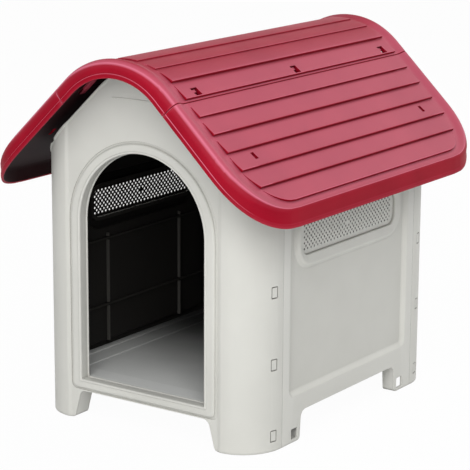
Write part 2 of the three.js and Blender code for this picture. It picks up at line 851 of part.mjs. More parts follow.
// Ribs under the roof between two places: two that sit on the gables and two that stiffen.
function roofRibs(u0, u1, bearingEnd) {
  const half = ribThickness / 2;
  return [-1, 1].flatMap((way) => {
    const bearing = way * bearingOffset;
    const stiff = way * roofRibOffset;
    return [
      slopeBlock(u0, bearingEnd, bearingDrop, onPlate, bearing - half, bearing + half),
      slopeBlock(u0, u1, -roofThickness - roofRibDepth, onPlate, stiff - half, stiff + half),
    ];
  });
}

function ridgePiece(shell) {
  const edge = capHalfWidth - clearance / 2;
  const ribEdge = edge - 1;
  const mask = slopeBlock(-edge, edge, -ridgeRadius / 2, 4 * boardRise, -above / 2, above / 2);
  const windows = hookPlaces.flatMap((y) =>
    [-1, 1].map((side) => {
      const far = side * (capHalfWidth - 6.5);
      const near = far - side * hookWindowLength;
      const half = hookWidth / 2 + 1;
      const [from, to] = [Math.min(near, far), Math.max(near, far)];
      return slopeBlock(from, to, -2 * roofThickness, 3 * boardRise, y - half, y + half);
    }),
  );
  const body = joined([shell.intersect(mask), ...roofRibs(-ribEdge, ribEdge, ribEdge)]);
  return cutBy(body, windows);
}

// One slope. Its upper edge laps under the ridge piece on tongues whose hooks rise
// into the ridge piece's windows.
function slopePiece(shell, side) {
  const edge = capHalfWidth + clearance / 2;
  const reach = eaveCrest + eaveDrop;
  const placed = (near, far, h0, h1, y0, y1) =>
    slopeBlock(Math.min(side * near, side * far), Math.max(side * near, side * far), h0, h1, y0, y1);
  const mask = placed(edge, reach, -ridgeRadius / 2, 4 * boardRise, -above / 2, above / 2);
  const lapTop = -roofThickness - clearance;
  const lapBottom = lapTop - 3;
  const hooks = hookPlaces.flatMap((y) => {
    const half = hookWidth / 2;
    const padHalf = half - hookWindowMargin;
    const hookFrom = capHalfWidth - hookReach + 1;
    const hookTo = hookFrom + hookWindowLength / 3;
    return [
      placed(hookFrom, edge + 14, lapBottom, lapTop, y - half, y + half),
      placed(edge + 1, edge + 14, lapBottom, onPlate, y - half, y + half),
      placed(hookFrom, hookTo, lapTop - 1, -0.8, y - padHalf, y + padHalf),
    ];
  });
  const bearingEnd = (halfWidth - cornerRadius / 2) / cosPitch - slopeShift;
  const from = edge + 4;
  const ribs = roofRibs(from, eaveCrest - 14, bearingEnd - 4).map((rib) =>
    side > 0 ? rib : rib.mirror([1, 0, 0]),
  );
  const wallX = halfWidth - wallThickness / 2;
  const wallRib = box(
    side * wallX - ribThickness / 2,
    side * wallX + ribThickness / 2,
    -seamAt + 2 * ribThickness,
    seamAt - 2 * ribThickness,
    sideWallHeight,
    apexHeight - wallX * tanPitch - roofThickness * 0.7,
  );
  const slots = [-1, 1].map((way) =>
    box(
      Math.min(side * eaveSlotInner, side * eaveSlotOuter),
      Math.max(side * eaveSlotInner, side * eaveSlotOuter),
      way * eaveSlotOffset - eaveSlotWidth / 2,
      way * eaveSlotOffset + eaveSlotWidth / 2,
      sideWallHeight,
      above,
    ),
  );
  return cutBy(joined([shell.intersect(mask), ...hooks, ...ribs, wallRib]), slots);
}

// ------------------------------------------------------------------------ the house

const plastic = (color, roughness) =>
  new THREE.MeshStandardMaterial({ color, roughness, metalness: 0 });
const wallPlastic = plastic(0xd6d5d0, 0.5);
const floorPlastic = plastic(0xb9b8b4, 0.55);
const roofPlastic = plastic(0xa8182f, 0.45);

const house = new THREE.Group();
const walls = new THREE.Group();
const roof = new THREE.Group();
house.add(walls, roof);

walls.add(named("front_panel", endPanel(true), wallPlastic));
const rearPanel = named("rear_panel", endPanel(false), wallPlastic);
rearPanel.rotation.z = Math.PI;
walls.add(rearPanel);

const wallSolid = sideWall();
const grilleSolid = grillePlate();
for (const [side, place] of [
  [1, "right"],
  [-1, "left"],
]) {
  const wallMesh = named(`${place}_wall`, wallSolid, wallPlastic);
  const grilleMesh = named(`vent_grille_${place}`, grilleSolid, wallPlastic);
  wallMesh.scale.x = side;
  grilleMesh.scale.x = side;
  walls.add(wallMesh, grilleMesh);
}
walls.add(named("floor_panel", floorPanel(), floorPlastic));

const shell = roofShell().add(boards());
roof.add(named("roof_ridge", ridgePiece(shell), roofPlastic));
roof.add(named("roof_right", slopePiece(shell, 1), roofPlastic));
roof.add(named("roof_left", slopePiece(shell, -1), roofPlastic));

export default house;
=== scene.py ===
import math

import bmesh
import bpy
from mathutils import Matrix, Vector


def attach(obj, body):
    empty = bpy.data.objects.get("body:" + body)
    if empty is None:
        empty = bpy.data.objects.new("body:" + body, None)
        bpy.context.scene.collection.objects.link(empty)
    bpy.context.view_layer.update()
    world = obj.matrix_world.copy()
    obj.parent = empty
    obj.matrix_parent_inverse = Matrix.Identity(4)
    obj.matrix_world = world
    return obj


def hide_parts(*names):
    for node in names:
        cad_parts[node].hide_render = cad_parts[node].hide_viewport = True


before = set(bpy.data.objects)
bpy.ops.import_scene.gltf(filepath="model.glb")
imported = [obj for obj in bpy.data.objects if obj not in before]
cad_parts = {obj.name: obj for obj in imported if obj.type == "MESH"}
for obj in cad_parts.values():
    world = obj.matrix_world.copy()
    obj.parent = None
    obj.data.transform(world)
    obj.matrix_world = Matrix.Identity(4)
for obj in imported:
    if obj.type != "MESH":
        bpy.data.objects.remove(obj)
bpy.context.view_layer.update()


# ---- small helpers

def toLinear(hexColour):
    channels = [int(hexColour[i:i + 2], 16) / 255 for i in (1, 3, 5)]
    return [c / 12.92 if c <= 0.04045 else ((c + 0.055) / 1.055) ** 2.4 for c in channels] + [1.0]


def addNode(tree, kind, settings=None, links=None, **props):
    node = tree.nodes.new(kind)
    for name, value in props.items():
        setattr(node, name, value)
    for socket, value in (settings or {}).items():
        node.inputs[socket].default_value = value
    for socket, source in (links or {}).items():
        tree.links.new(source, node.inputs[socket])
    return node


# ---- camera, solved from the straight edges of the photograph

cameraSettings = {
    "place": (1.98486, -2.87479, 1.14418),   # metres
    "azimuth": 34.803,                       # degrees, from -Y towards +X
    "elevation": 13.638,
    "roll": 0.339,
    "lens": 151.46,                          # mm on a 36 mm sensor
}


def makeCamera(settings):
    azimuth = math.radians(settings["azimuth"])
    elevation = math.radians(settings["elevation"])
    roll = math.radians(settings["roll"])
    back = Vector((math.sin(azimuth) * math.cos(elevation),
                   -math.cos(azimuth) * math.cos(elevation), math.sin(elevation)))
    right = Vector((math.cos(azimuth), math.sin(azimuth), 0))
    up = back.cross(right)
    tiltedRight = right * math.cos(roll) + up * math.sin(roll)
    tiltedUp = up * math.cos(roll) - right * math.sin(roll)
    data = bpy.data.cameras.new("houseCamera")
    data.lens = settings["lens"]
    data.sensor_width = 36
    data.clip_end = 50
    camera = bpy.data.objects.new("houseCamera", data)
    turn = Matrix((tiltedRight, tiltedUp, back)).transposed().to_4x4()
    camera.matrix_world = Matrix.Translation(settings["place"]) @ turn
    bpy.context.scene.collection.objects.link(camera)
    bpy.context.scene.camera = camera


makeCamera(cameraSettings)
print("camera set")

# ---- light and floor

lightSettings = {
    "ambient": 0.42,
    "ambientColour": "#F4F6F8",
    "lamps": [
        {"name": "keyLamp", "place": (1.75, -2.75, 2.6), "aim": (0, 0, 0.35), "size": 2.4, "watts": 76},
        {"name": "frontLamp", "place": (0.8, -3.6, 0.8), "aim": (0, -0.3, 0.3), "size": 1.6, "watts": 15},
        {"name": "rearLamp", "place": (0.9, 3.2, 2.7), "aim": (0, 0, 0.5), "size": 2.6, "watts": 42},
    ],
}


def makeLamps(settings):
    for lamp in settings["lamps"]:
        data = bpy.data.lights.new(lamp["name"], "AREA")
        data.shape = "SQUARE"
        data.size = lamp["size"]
        data.energy = lamp["watts"]
        holder = bpy.data.objects.new(lamp["name"], data)
        aim = Vector(lamp["aim"]) - Vector(lamp["place"])
        turn = aim.to_track_quat("-Z", "Y").to_matrix().to_4x4()
        holder.matrix_world = Matrix.Translation(lamp["place"]) @ turn
        bpy.context.scene.collection.objects.link(holder)


def seenDirectly(tree):
    path = addNode(tree, "ShaderNodeLightPath")
    first = addNode(tree, "ShaderNodeMath", links={0: path.outputs["Is Camera Ray"],
                                                   1: path.outputs["Is Glossy Ray"]},
                    operation="MAXIMUM")
    return addNode(tree, "ShaderNodeMath", links={0: first.outputs[0],
                                                  1: path.outputs["Is Transmission Ray"]},
                   operation="MAXIMUM").outputs[0]


def makeWorld(settings):
    world = bpy.data.worlds.new("paleStudio")
    bpy.context.scene.world = world
    world.use_nodes = True
    tree = world.node_tree
    tree.nodes.clear()
    ambient = addNode(tree, "ShaderNodeBackground",
                      {"Color": toLinear(settings["ambientColour"]), "Strength": settings["ambient"]})
    white = addNode(tree, "ShaderNodeBackground", {"Color": (1, 1, 1, 1), "Strength": 1.0})
    mix = addNode(tree, "ShaderNodeMixShader", links={0: seenDirectly(tree), 1: ambient.outputs[0],
                                                      2: white.outputs[0]})
    addNode(tree, "ShaderNodeOutputWorld", links={"Surface": mix.outputs[0]})


def makeFloor():
    bpy.ops.mesh.primitive_plane_add(size=30, location=(0, 0, -0.0005))
    floor = bpy.context.object
    floor.name = "studioFloor"
    material = bpy.data.materials.new("matWhiteFloor")
    material.use_nodes = True
    tree = material.node_tree
    tree.nodes.clear()
    matt = addNode(tree, "ShaderNodeBsdfDiffuse", {"Color": (0.86, 0.86, 0.86, 1)})
    glow = addNode(tree, "ShaderNodeEmission", {"Color": (1, 1, 1, 1), "Strength": 1.0})
    share = addNode(tree, "ShaderNodeMath", {1: 0.97}, {0: seenDirectly(tree)}, operation="MULTIPLY")
    mix = addNode(tree, "ShaderNodeMixShader", links={0: share.outputs[0], 1: matt.outputs[0],
                                                      2: glow.outputs[0]})
    addNode(tree, "ShaderNodeOutputMaterial", links={"Surface": mix.outputs[0]})
    floor.data.materials.append(material)


makeLamps(lightSettings)
makeWorld(lightSettings)
makeFloor()
bpy.context.scene.view_settings.view_transform = "Standard"
print("light and floor set")

# ---- materials

# painted sheen: faces are drawn paler the more they look up, with a painted highlight band on the shoulders
# of the roof's rolled edges
def paintSheenOnTops(tree, body, shape, settings):
    parts = addNode(tree, "ShaderNodeSeparateXYZ", links={0: shape.outputs["Normal"]})
    ramp = addNode(tree, "ShaderNodeValToRGB", links={"Fac": parts.outputs["Z"]})
    ramp.color_ramp.interpolation = "EASE"
    stops = ramp.color_ramp.elements
    for spot, share in zip((stops[0], stops[1]), settings["paintedSheenStops"][:2]):
        spot.position, spot.color = share[0], (share[1],) * 3 + (1,)
    for position, share in settings["paintedSheenStops"][2:]:
        stops.new(position).color = (share,) * 3 + (1,)
    return addNode(tree, "ShaderNodeMix", {7: toLinear(settings["paintedSheenColour"])},
                   {0: ramp.outputs["Color"], 6: body.outputs[2]}, data_type="RGBA")


# painted light: the floor is drawn paler towards the doorway, where the light comes in
def paintDoorwayLight(tree, body, place, clouds, settings):
    parts = addNode(tree, "ShaderNodeSeparateXYZ", links={0: place})
    depth = addNode(tree, "ShaderNodeMath", {1: 0.06}, {0: clouds.outputs["Fac"], 2: parts.outputs["Y"]},
                    operation="MULTIPLY_ADD")
    near = addNode(tree, "ShaderNodeMapRange",
                   {"From Min": settings["doorwayLightFrom"], "From Max": settings["doorwayLightTo"], "To Min": 1.0,
                    "To Max": 0.0},
                   {"Value": depth.outputs[0]}, interpolation_type="SMOOTHSTEP")
    return addNode(tree, "ShaderNodeMix", {7: toLinear(settings["doorwayLightColour"])},
                   {0: near.outputs["Result"], 6: body.outputs[2]}, data_type="RGBA")


def mouldedPlastic(settings):
    material = bpy.data.materials.new(settings["name"])
    material.use_nodes = True
    tree = material.node_tree
    shader = tree.nodes["Principled BSDF"]
    place = addNode(tree, "ShaderNodeTexCoord").outputs["Object"]
    clouds = addNode(tree, "ShaderNodeTexNoise", {"Scale": 1 / settings["patch"], "Detail": 3.0},
                     {"Vector": place})
    speckle = addNode(tree, "ShaderNodeTexNoise", {"Scale": 1 / settings["grain"], "Detail": 2.0},
                      {"Vector": place})
    shape = addNode(tree, "ShaderNodeNewGeometry")
    tone = addNode(tree, "ShaderNodeMapRange", {"From Min": 0.3, "From Max": 0.7},
                   {"Value": clouds.outputs["Fac"]})
    body = addNode(tree, "ShaderNodeMix",
                   {6: toLinear(settings["colour"]), 7: toLinear(settings["patchColour"])},
                   {0: tone.outputs["Result"]}, data_type="RGBA")
    if "paintedSheenColour" in settings:
        body = paintSheenOnTops(tree, body, shape, settings)
    if "doorwayLightColour" in settings:
        body = paintDoorwayLight(tree, body, place, clouds, settings)
    # worn edges with painted highlight: sharp convex edges are drawn paler
    edge = addNode(tree, "ShaderNodeMapRange",
                   {"From Min": 0.52, "From Max": 0.62, "To Max": settings["wearAndHighlight"]},
                   {"Value": shape.outputs["Pointiness"]})
    wornAndHighlighted = addNode(tree, "ShaderNodeMix", {7: toLinear(settings["wornAndHighlightColour"])},
                   {0: edge.outputs["Result"], 6: body.outputs[2]}, data_type="RGBA")
    # grime with painted shade: hollow creases are drawn darker
    crease = addNode(tree, "ShaderNodeMapRange",
                     {"From Min": 0.49, "From Max": 0.42, "To Max": settings["grimeAndShade"]},
                     {"Value": shape.outputs["Pointiness"]})
    grimedAndShaded = addNode(tree, "ShaderNodeMix", {7: toLinear(settings["grimeAndShadeColour"])},
                    {0: crease.outputs["Result"], 6: wornAndHighlighted.outputs[2]}, data_type="RGBA")
    # painted shade: the ambient occlusion darkens surfaces that have others close by, in creases, seams and
    # under ledges
    near = addNode(tree, "ShaderNodeAmbientOcclusion", {"Distance": settings["creaseReach"]}, samples=6)
    shade = addNode(tree, "ShaderNodeMapRange", {"From Min": 0.35, "From Max": 0.85,
                                                 "To Min": settings["creaseShade"], "To Max": 0.0},
                    {"Value": near.outputs["AO"]})
    grimedAndShaded = addNode(tree, "ShaderNodeMix", {7: toLinear(settings["grimeAndShadeColour"])},
                    {0: shade.outputs["Result"], 6: grimedAndShaded.outputs[2]}, data_type="RGBA")
    gloss = addNode(tree, "ShaderNodeMapRange", {"To Min": settings["roughness"] - 0.05,
                                                 "To Max": settings["roughness"] + 0.06},
                    {"Value": clouds.outputs["Fac"]})
    bump = addNode(tree, "ShaderNodeBump",
                   {"Strength": settings["bump"], "Distance": settings["grain"] * 0.2},
                   {"Height": speckle.outputs["Fac"]})
    tree.links.new(grimedAndShaded.outputs[2], shader.inputs["Base Color"])
    tree.links.new(gloss.outputs["Result"], shader.inputs["Roughness"])
    tree.links.new(bump.outputs["Normal"], shader.inputs["Normal"])
    shader.inputs["IOR"].default_value = 1.49           # polypropylene
    shader.inputs["Specular IOR Level"].default_value = settings["specular"]
    return material


# Polypropylene, injection moulded from a spark-eroded tool: an even, slightly soft sheen with a
# fine grain. A usual grain of about 0.6 mm is too fine to show here, so it is drawn coarser.
# Lengths are in metres, and a tone that a piece doesn't name is the usual one.
moulded = {"patch": 0.16, "grain": 0.0024, "wearAndHighlight": 0.3, "grimeAndShade": 0.6, "bump": 0.12, "creaseReach": 0.011,
           "creaseShade": 0.6}
wallPlastic = mouldedPlastic(moulded | {
    "name": "outerWallPolypropylene", "colour": "#DEDDD6", "patchColour": "#D6D5CE",
    "wornAndHighlightColour": "#EEEDE8", "grimeAndShadeColour": "#8C8A83", "wearAndHighlight": 0.5, "roughness": 0.5, "specular": 0.3,
    "creaseReach": 0.007, "creaseShade": 0.75,
})
# the inner sides are drawn darker than the moulding is, for the shade of the closed house
innerPlastic = mouldedPlastic(moulded | {
    "name": "innerWallPolypropylene", "colour": "#242220", "patchColour": "#1E1C1B",
    "wornAndHighlightColour": "#4C4A46", "grimeAndShadeColour": "#161514", "roughness": 0.62, "specular": 0.2,
})
roofPlastic = mouldedPlastic(moulded | {
    "name": "roofPolypropylene", "colour": "#A80E28", "patchColour": "#960B22", "wornAndHighlightColour": "#DE6C80",
    "grimeAndShadeColour": "#560312", "patch": 0.11, "wearAndHighlight": 0.5, "grimeAndShade": 0.7, "roughness": 0.46,
    "specular": 0.08, "creaseReach": 0.009, "creaseShade": 0.85,
    # painted sheen and highlight: paler on faces that look up, brightest on the rolled edges' shoulders
    "paintedSheenColour": "#E0788F",                     # faces that look up are paler
    "paintedSheenStops": ((0.05, 0.0), (0.36, 0.06), (0.56, 0.95), (0.68, 0.52), (0.8, 0.44), (1.0, 0.14)),
})
# darker than the roof's moulding too, for the shade under the eaves
roofInnerPlastic = mouldedPlastic(moulded | {
    "name": "roofInnerPolypropylene", "colour": "#26060B", "patchColour": "#20050A",
    "wornAndHighlightColour": "#40101A", "grimeAndShadeColour": "#120205", "patch": 0.14, "roughness": 0.6, "specular": 0.15,
})
# a coarser grain; the floor is drawn dark for the shade inside the house, and paler towards the doorway as
# painted light from the doorway
floorPlastic = mouldedPlastic(moulded | {
    "name": "floorPolypropylene", "colour": "#343434", "patchColour": "#2F2F2E", "wornAndHighlightColour": "#BDBDBA",
    "grimeAndShadeColour": "#4C4C4A", "patch": 0.12, "grain": 0.0030, "wearAndHighlight": 0.08, "roughness": 0.5, "bump": 0.2,
    "specular": 0.3, "creaseReach": 0.015, "creaseShade": 0.3,
    "doorwayLightColour": "#EDEEEB", "doorwayLightFrom": -0.24, "doorwayLightTo": 0.18,
})
# ribs on the inner walls, a little paler than the walls they stand on: painted light from the doorway that
# catches them, in a house drawn dark for its shade
ribPlastic = mouldedPlastic(moulded | {
    "name": "ribPolypropylene", "colour": "#4C4A47", "patchColour": "#454340", "wornAndHighlightColour": "#62605B",
    "grimeAndShadeColour": "#3A3936", "grimeAndShade": 0.5, "roughness": 0.55, "specular": 0.2, "creaseReach": 0.006,
    "creaseShade": 0.4,
})
print("materials made")

# ---- shared sizes, in millimetres: X right, Y to the rear, Z up

mm = 0.001
bodySize = {"halfWidth": 236, "halfLength": 295, "corner": 74, "wall": 4, "seam": 215.5, "wallTop": 459.8,
            "edge": 0.9, "seamGap": 0.3}
roofSize = {"pitch": 43.7, "standoff": 21, "ridgeRadius": 148.6, "halfLength": 375, "eave": 294, "drop": 30,
            "endDrop": 26, "cap": 139.2, "plate": 4, "board": 38, "ridgeBoard": 41, "boardRise": 5.2,
            "ridgeRise": 2.6, "boardEndInset": 43, "boardEaveInset": 15.5, "cornerFromEave": 113,
            "cornerFromEnd": 118, "cornerFullness": 0.16, "seamGap": 0.3, "seamRound": 1.1}
pitch = math.radians(roofSize["pitch"])
apexHeight = (bodySize["wallTop"] + bodySize["halfWidth"] * math.tan(pitch)
              + roofSize["standoff"] / math.cos(pitch))
ridgeCentre = apexHeight - roofSize["ridgeRadius"] / math.cos(pitch)
ridgeArc = roofSize["ridgeRadius"] * pitch
slopeShift = roofSize["ridgeRadius"] * math.tan(pitch) - ridgeArc
eaveCrest = roofSize["eave"] / math.cos(pitch) - slopeShift
boardsEnd = eaveCrest - roofSize["boardEaveInset"]
boardsHalfLength = roofSize["halfLength"] - roofSize["boardEndInset"]
lockHeights = [27 + 125.5 * i for i in range(4)]
lockSize = {"from": 231, "to": 245, "height": 20.5, "padMargin": 1.5, "tongue": 27, "thick": 3}


def onRoof(u, y, h):
    side = -1 if u < 0 else 1
    run = abs(u)
    if run <= ridgeArc:
        radius = roofSize["ridgeRadius"] + h
        return Vector((radius * math.sin(u / roofSize["ridgeRadius"]), y,
                       ridgeCentre + radius * math.cos(u / roofSize["ridgeRadius"])))
    s = run + slopeShift
    return Vector((side * (s * math.cos(pitch) + h * math.sin(pitch)), y,
                   apexHeight - s * math.sin(pitch) + h * math.cos(pitch)))


# ---- mesh helpers

def smoothFaces(bm, angle=32):
    limit = math.radians(angle)
    for face in bm.faces:
        face.smooth = True
    for edge in bm.edges:
        edge.smooth = len(edge.link_faces) == 2 and edge.calc_face_angle(math.pi) < limit


def finishMesh(bm, name, materials):
    bmesh.ops.remove_doubles(bm, verts=bm.verts, dist=0.002)
    bmesh.ops.recalc_face_normals(bm, faces=bm.faces)
    smoothFaces(bm)
    for vertex in bm.verts:
        vertex.co *= mm
    mesh = bpy.data.meshes.new(name)
    bm.to_mesh(mesh)
    bm.free()
    for material in materials:
        mesh.materials.append(material)
    piece = bpy.data.objects.new(name, mesh)
    bpy.context.scene.collection.objects.link(piece)
    return piece


def addLoft(bm, rings, closedStack=False, capFirst=False, capLast=False, inner=()):
    grid = [[bm.verts.new(p) for p in ring] for ring in rings]
    count = len(grid[0])
    rows = len(grid) if closedStack else len(grid) - 1
    for r in range(rows):
        lower, upper = grid[r], grid[(r + 1) % len(grid)]
        for i in range(count):
            j = (i + 1) % count
            face = bm.faces.new((lower[i], lower[j], upper[j], upper[i]))
            face.material_index = 1 if r in inner else 0
    if capFirst:
        bm.faces.new(grid[0]).material_index = 1 if 0 in inner else 0
    if capLast:
        bm.faces.new(list(reversed(grid[-1]))).material_index = 1 if rows - 1 in inner else 0
    return grid


def roundedPath(corners, segments=6, closed=True):
    points = []
    count = len(corners)
    for i, (x, y, radius) in enumerate(corners):
        here = Vector((x, y))
        atEnd = not closed and i in (0, count - 1)
        if radius <= 0 or atEnd:
            points.append(here)
            continue
        back = (Vector(corners[i - 1][:2]) - here).normalized()
        ahead = (Vector(corners[(i + 1) % count][:2]) - here).normalized()
        half = back.angle(ahead) / 2
        start = here + back * radius / math.tan(half)
        end = here + ahead * radius / math.tan(half)
        centre = here + (back + ahead).normalized() * radius / math.sin(half)
        first = math.atan2(*(start - centre).yx)
        sweep = math.atan2(*(end - centre).yx) - first
        sweep = (sweep + math.pi) % (2 * math.pi) - math.pi
        for k in range(segments + 1):
            angle = first + sweep * k / segments
            points.append(centre + Vector((math.cos(angle), math.sin(angle))) * radius)
    return points


def rectanglePath(x0, x1, y0, y1, radius, segments=6):
    return roundedPath([(x0, y0, radius), (x1, y0, radius), (x1, y1, radius), (x0, y1, radius)], segments)


def shifted(loop, distance, closed=True):
    moved = []
    count = len(loop)
    for i, here in enumerate(loop):
        before = loop[i - 1] if closed or i else here * 2 - loop[1]
        after = loop[(i + 1) % count] if closed or i + 1 < count else here * 2 - loop[i - 1]
        first = (here - before).normalized()
        second = (after - here).normalized()
        normal = Vector((-first.y - second.y, first.x + second.x))
        if normal.length < 1e-6:
            normal = Vector((-second.y, second.x))
        normal.normalize()
        spread = max(normal.dot(Vector((-second.y, second.x))), 0.5)
        moved.append(here + normal * distance / spread)
    return moved


def turnedLeft(loop, leftIsInside):
    area = sum(a.x * b.y - b.x * a.y for a, b in zip(loop, loop[1:] + loop[:1]))
    return loop if (area > 0) == leftIsInside else list(reversed(loop))


def addPlate(bm, outer, holes, thickness, edge, plainHoles=()):
    loops = [turnedLeft(list(outer), True)] + [turnedLeft(list(h), False) for h in holes]
    plain = [turnedLeft(list(h), False) for h in plainHoles]
    cut = 0.293 * edge                                   # the middle of a quarter round
    rings = [(0.0, edge), (cut, cut), (edge, 0.0)]
    rings += [(thickness - d, inset) for d, inset in reversed(rings)]
    frontEdges, backEdges = [], []
    for index, loop in enumerate(loops + plain):
        use = rings if index < len(loops) else [(0.0, 0.0), (thickness, 0.0)]
        stack = []
        for d, inset in use:
            moved = shifted(loop, inset) if inset else loop
            stack.append([Vector((p.x, p.y, d)) for p in moved])
        grid = addLoft(bm, stack, inner=(len(use) - 2,))
        for row, edges in ((grid[0], frontEdges), (grid[-1], backEdges)):
            for i, vertex in enumerate(row):
                found = bm.edges.get((vertex, row[(i + 1) % len(row)]))
                edges.append(found)
    for edges, index in ((frontEdges, 0), (backEdges, 1)):
        made = bmesh.ops.triangle_fill(bm, use_beauty=True, use_dissolve=False, edges=edges)
        for item in made["geom"]:
            if isinstance(item, bmesh.types.BMFace):
                item.material_index = index


def cutAlong(bm, places):
    for place in places:
        geometry = bm.verts[:] + bm.edges[:] + bm.faces[:]
        bmesh.ops.bisect_plane(bm, geom=geometry, plane_co=(place, 0, 0), plane_no=(1, 0, 0), dist=1e-4)


def joinInto(bm, other, place):
    mesh = bpy.data.meshes.new("part")
    other.to_mesh(mesh)
    other.free()
    for vertex in mesh.vertices:
        vertex.co = place(vertex.co)
    bm.from_mesh(mesh)
    bpy.data.meshes.remove(mesh)


def cutWith(piece, cutters):
    for cutter in cutters:
        step = piece.modifiers.new("cut", "BOOLEAN")
        step.operation = "DIFFERENCE"
        step.solver = "EXACT"
        step.object = cutter
        graph = bpy.context.evaluated_depsgraph_get()
        mesh = bpy.data.meshes.new_from_object(piece.evaluated_get(graph))
        piece.modifiers.remove(step)
        old = piece.data
        piece.data = mesh
        bpy.data.meshes.remove(old)
        bpy.data.objects.remove(cutter)


def resmooth(piece, angle=32):
    bm = bmesh.new()
    bm.from_mesh(piece.data)
    smoothFaces(bm, angle)
    bm.to_mesh(piece.data)
    bm.free()


def splitRound(piece, cutters, margin=0.003):
    bm = bmesh.new()
    bm.from_mesh(piece.data)
    for cutter in cutters:
        places = [vertex.co for vertex in cutter.data.vertices]
        for axis in (0, 1):
            direction = Vector((axis == 0, axis == 1, 0))
            for limit in (min(p[axis] for p in places) - margin, max(p[axis] for p in places) + margin):
                geometry = bm.verts[:] + bm.edges[:] + bm.faces[:]
                bmesh.ops.bisect_plane(bm, geom=geometry, plane_co=direction * limit, plane_no=direction,
                                       dist=1e-6)
    bm.to_mesh(piece.data)
    bm.free()


def blockFrom(corners, name):
    bm = bmesh.new()
    bottom = [bm.verts.new(p) for p in corners[:4]]
    top = [bm.verts.new(p) for p in corners[4:]]
    bm.faces.new(bottom)
    bm.faces.new(list(reversed(top)))
    for i in range(4):
        j = (i + 1) % 4
        bm.faces.new((bottom[i], top[i], top[j], bottom[j]))
    return finishMesh(bm, name, [])


# ---- roof

def smoothStep(t):
    return t * t * (3 - 2 * t)


def roofProfiles():
    end, plate = roofSize["halfLength"], roofSize["plate"]
    face = end - 1.5
    endPoints = [(end - 38, 0.0)]
    eavePoints = [(eaveCrest - 10, 0.0)]
    for k in range(7):
        t = k / 6
        endPoints.append((end - 35 + 20 * t, 5 * smoothStep(t)))
        eavePoints.append((eaveCrest - 8 + 5 * t, 0.8 * smoothStep(t)))
    control = skirtPoint(roofSize["eave"], -0.8 / math.cos(pitch))
    last = skirtPoint(roofSize["eave"], 10)
    for k in range(1, 8):
        angle = math.pi / 2 * k / 7
        endPoints.append((end - 15 + 13.5 * math.sin(angle), -13 + 18 * math.cos(angle)))
        t = k / 7
        eavePoints.append(tuple((1 - t) ** 2 * a + 2 * t * (1 - t) * b + t * t * c
                                for a, b, c in zip((eaveCrest - 3, 0.8), control, last)))
    bottom = -roofSize["endDrop"]
    for y, h in ((face + 0.4, bottom + 8.6), (face + 0.8, bottom + 7.9), (face + 1.7, bottom + 7.3),
                 (end, bottom + 6.3), (end, bottom + 1.4), (end - 0.4, bottom + 0.4), (end - 1.3, bottom),
                 (end - 3, bottom), (end - 3.7, bottom + 0.5), (end - 4, bottom + 1.6),
                 (face - plate, -plate - 3.5), (face - plate - 1, -plate - 1), (face - plate - 4, -plate)):
        endPoints.append((y, h))
    eave, drop = roofSize["eave"], roofSize["drop"]
    for x, d in ((eave, drop - 8.2), (eave + 0.15, drop - 7.6), (eave + 0.6, drop - 7.1),
                 (eave + 1, drop - 6), (eave + 1, drop - 1.6), (eave + 0.6, drop - 0.5), (eave - 0.2, drop),
                 (eave - 2, drop), (eave - 2.7, drop - 0.5), (eave - 3, drop - 1.6)):
        eavePoints.append(skirtPoint(x, d))
    eavePoints.append(skirtPoint(eave - 3.6, 10.5))
    eavePoints.append((eaveCrest - 2.2, -plate - 1))
    eavePoints.append((eaveCrest - 6, -plate))
    return endPoints, eavePoints


def skirtPoint(x, drop):
    return (x / math.cos(pitch) + drop * math.sin(pitch) - slopeShift, -drop * math.cos(pitch))


def boardList(low):
    half, step = roofSize["ridgeBoard"] / 2, roofSize["board"]
    if low < 0:
        edges = [half]
        while edges[-1] + step < roofSize["cap"]:
            edges.append(edges[-1] + step)
        right = list(zip(edges, edges[1:]))
        return [(-half, half)] + right + [(-a, -b) for a, b in right]
    edges = [boardsEnd]
    while edges[-1] - step > roofSize["cap"]:
        edges.append(edges[-1] - step)
    edges.append(roofSize["cap"])
    edges.reverse()
    return list(zip(edges, edges[1:]))


edgeRound = ((-1.3, 0.0), (-0.4, 0.35), (0.0, 1.3), (0.25, 9.0), (1.0, 9.0))   # along, down


def boardHeight(u, boards):
    for top, low in boards:
        if min(top, low) <= u <= max(top, low):
            if top == -low:
                return roofSize["ridgeRise"]
            high = max(abs(low), abs(top)) > ridgeArc * 0.55
            return roofSize["boardRise" if high else "ridgeRise"] * abs(u - top) / roofSize["board"]
    return 0.0


def roofStations(low, high, boards):
    centreU = eaveCrest - roofSize["cornerFromEave"]
    stations = {}
    for top, bottom in boards:
        lows = [bottom] if top != -bottom else [bottom, top]
        for place in lows:
            if abs(place - high) < 2 or abs(place - low) < 2:
                continue
            side = -1 if place < 0 else 1
            full = boardHeight(place - side * 0.001, boards)
            for (along, down), left in zip(edgeRound, (1, 1, 1, 0.09, 0)):
                stations[place + side * along] = max(full - down, 0) if left == 1 else full * left
    for place in (low, high):
        if abs(place) < roofSize["cap"] + 1:
            side = -1 if place < 0 else 1
            inward = -side if low < 0 else 1
            for along in (0.0, 0.35, 1.1):
                u = place + inward * along
                stations[u] = boardHeight(u, boards)
    plain = [low + (high - low) * k / 40 for k in range(41)]
    if high > centreU:
        reach = boardsEnd - centreU
        plain = [u for u in plain if u < centreU]
        plain += [centreU + reach * math.sin(math.radians(a)) for a in range(0, 91, 5)]
    for u in plain:
        if all(abs(u - other) > 1.4 for other in stations) or abs(u - boardsEnd) < 1e-6:
            stations[u] = boardHeight(u, boards)
    return sorted(stations.items())


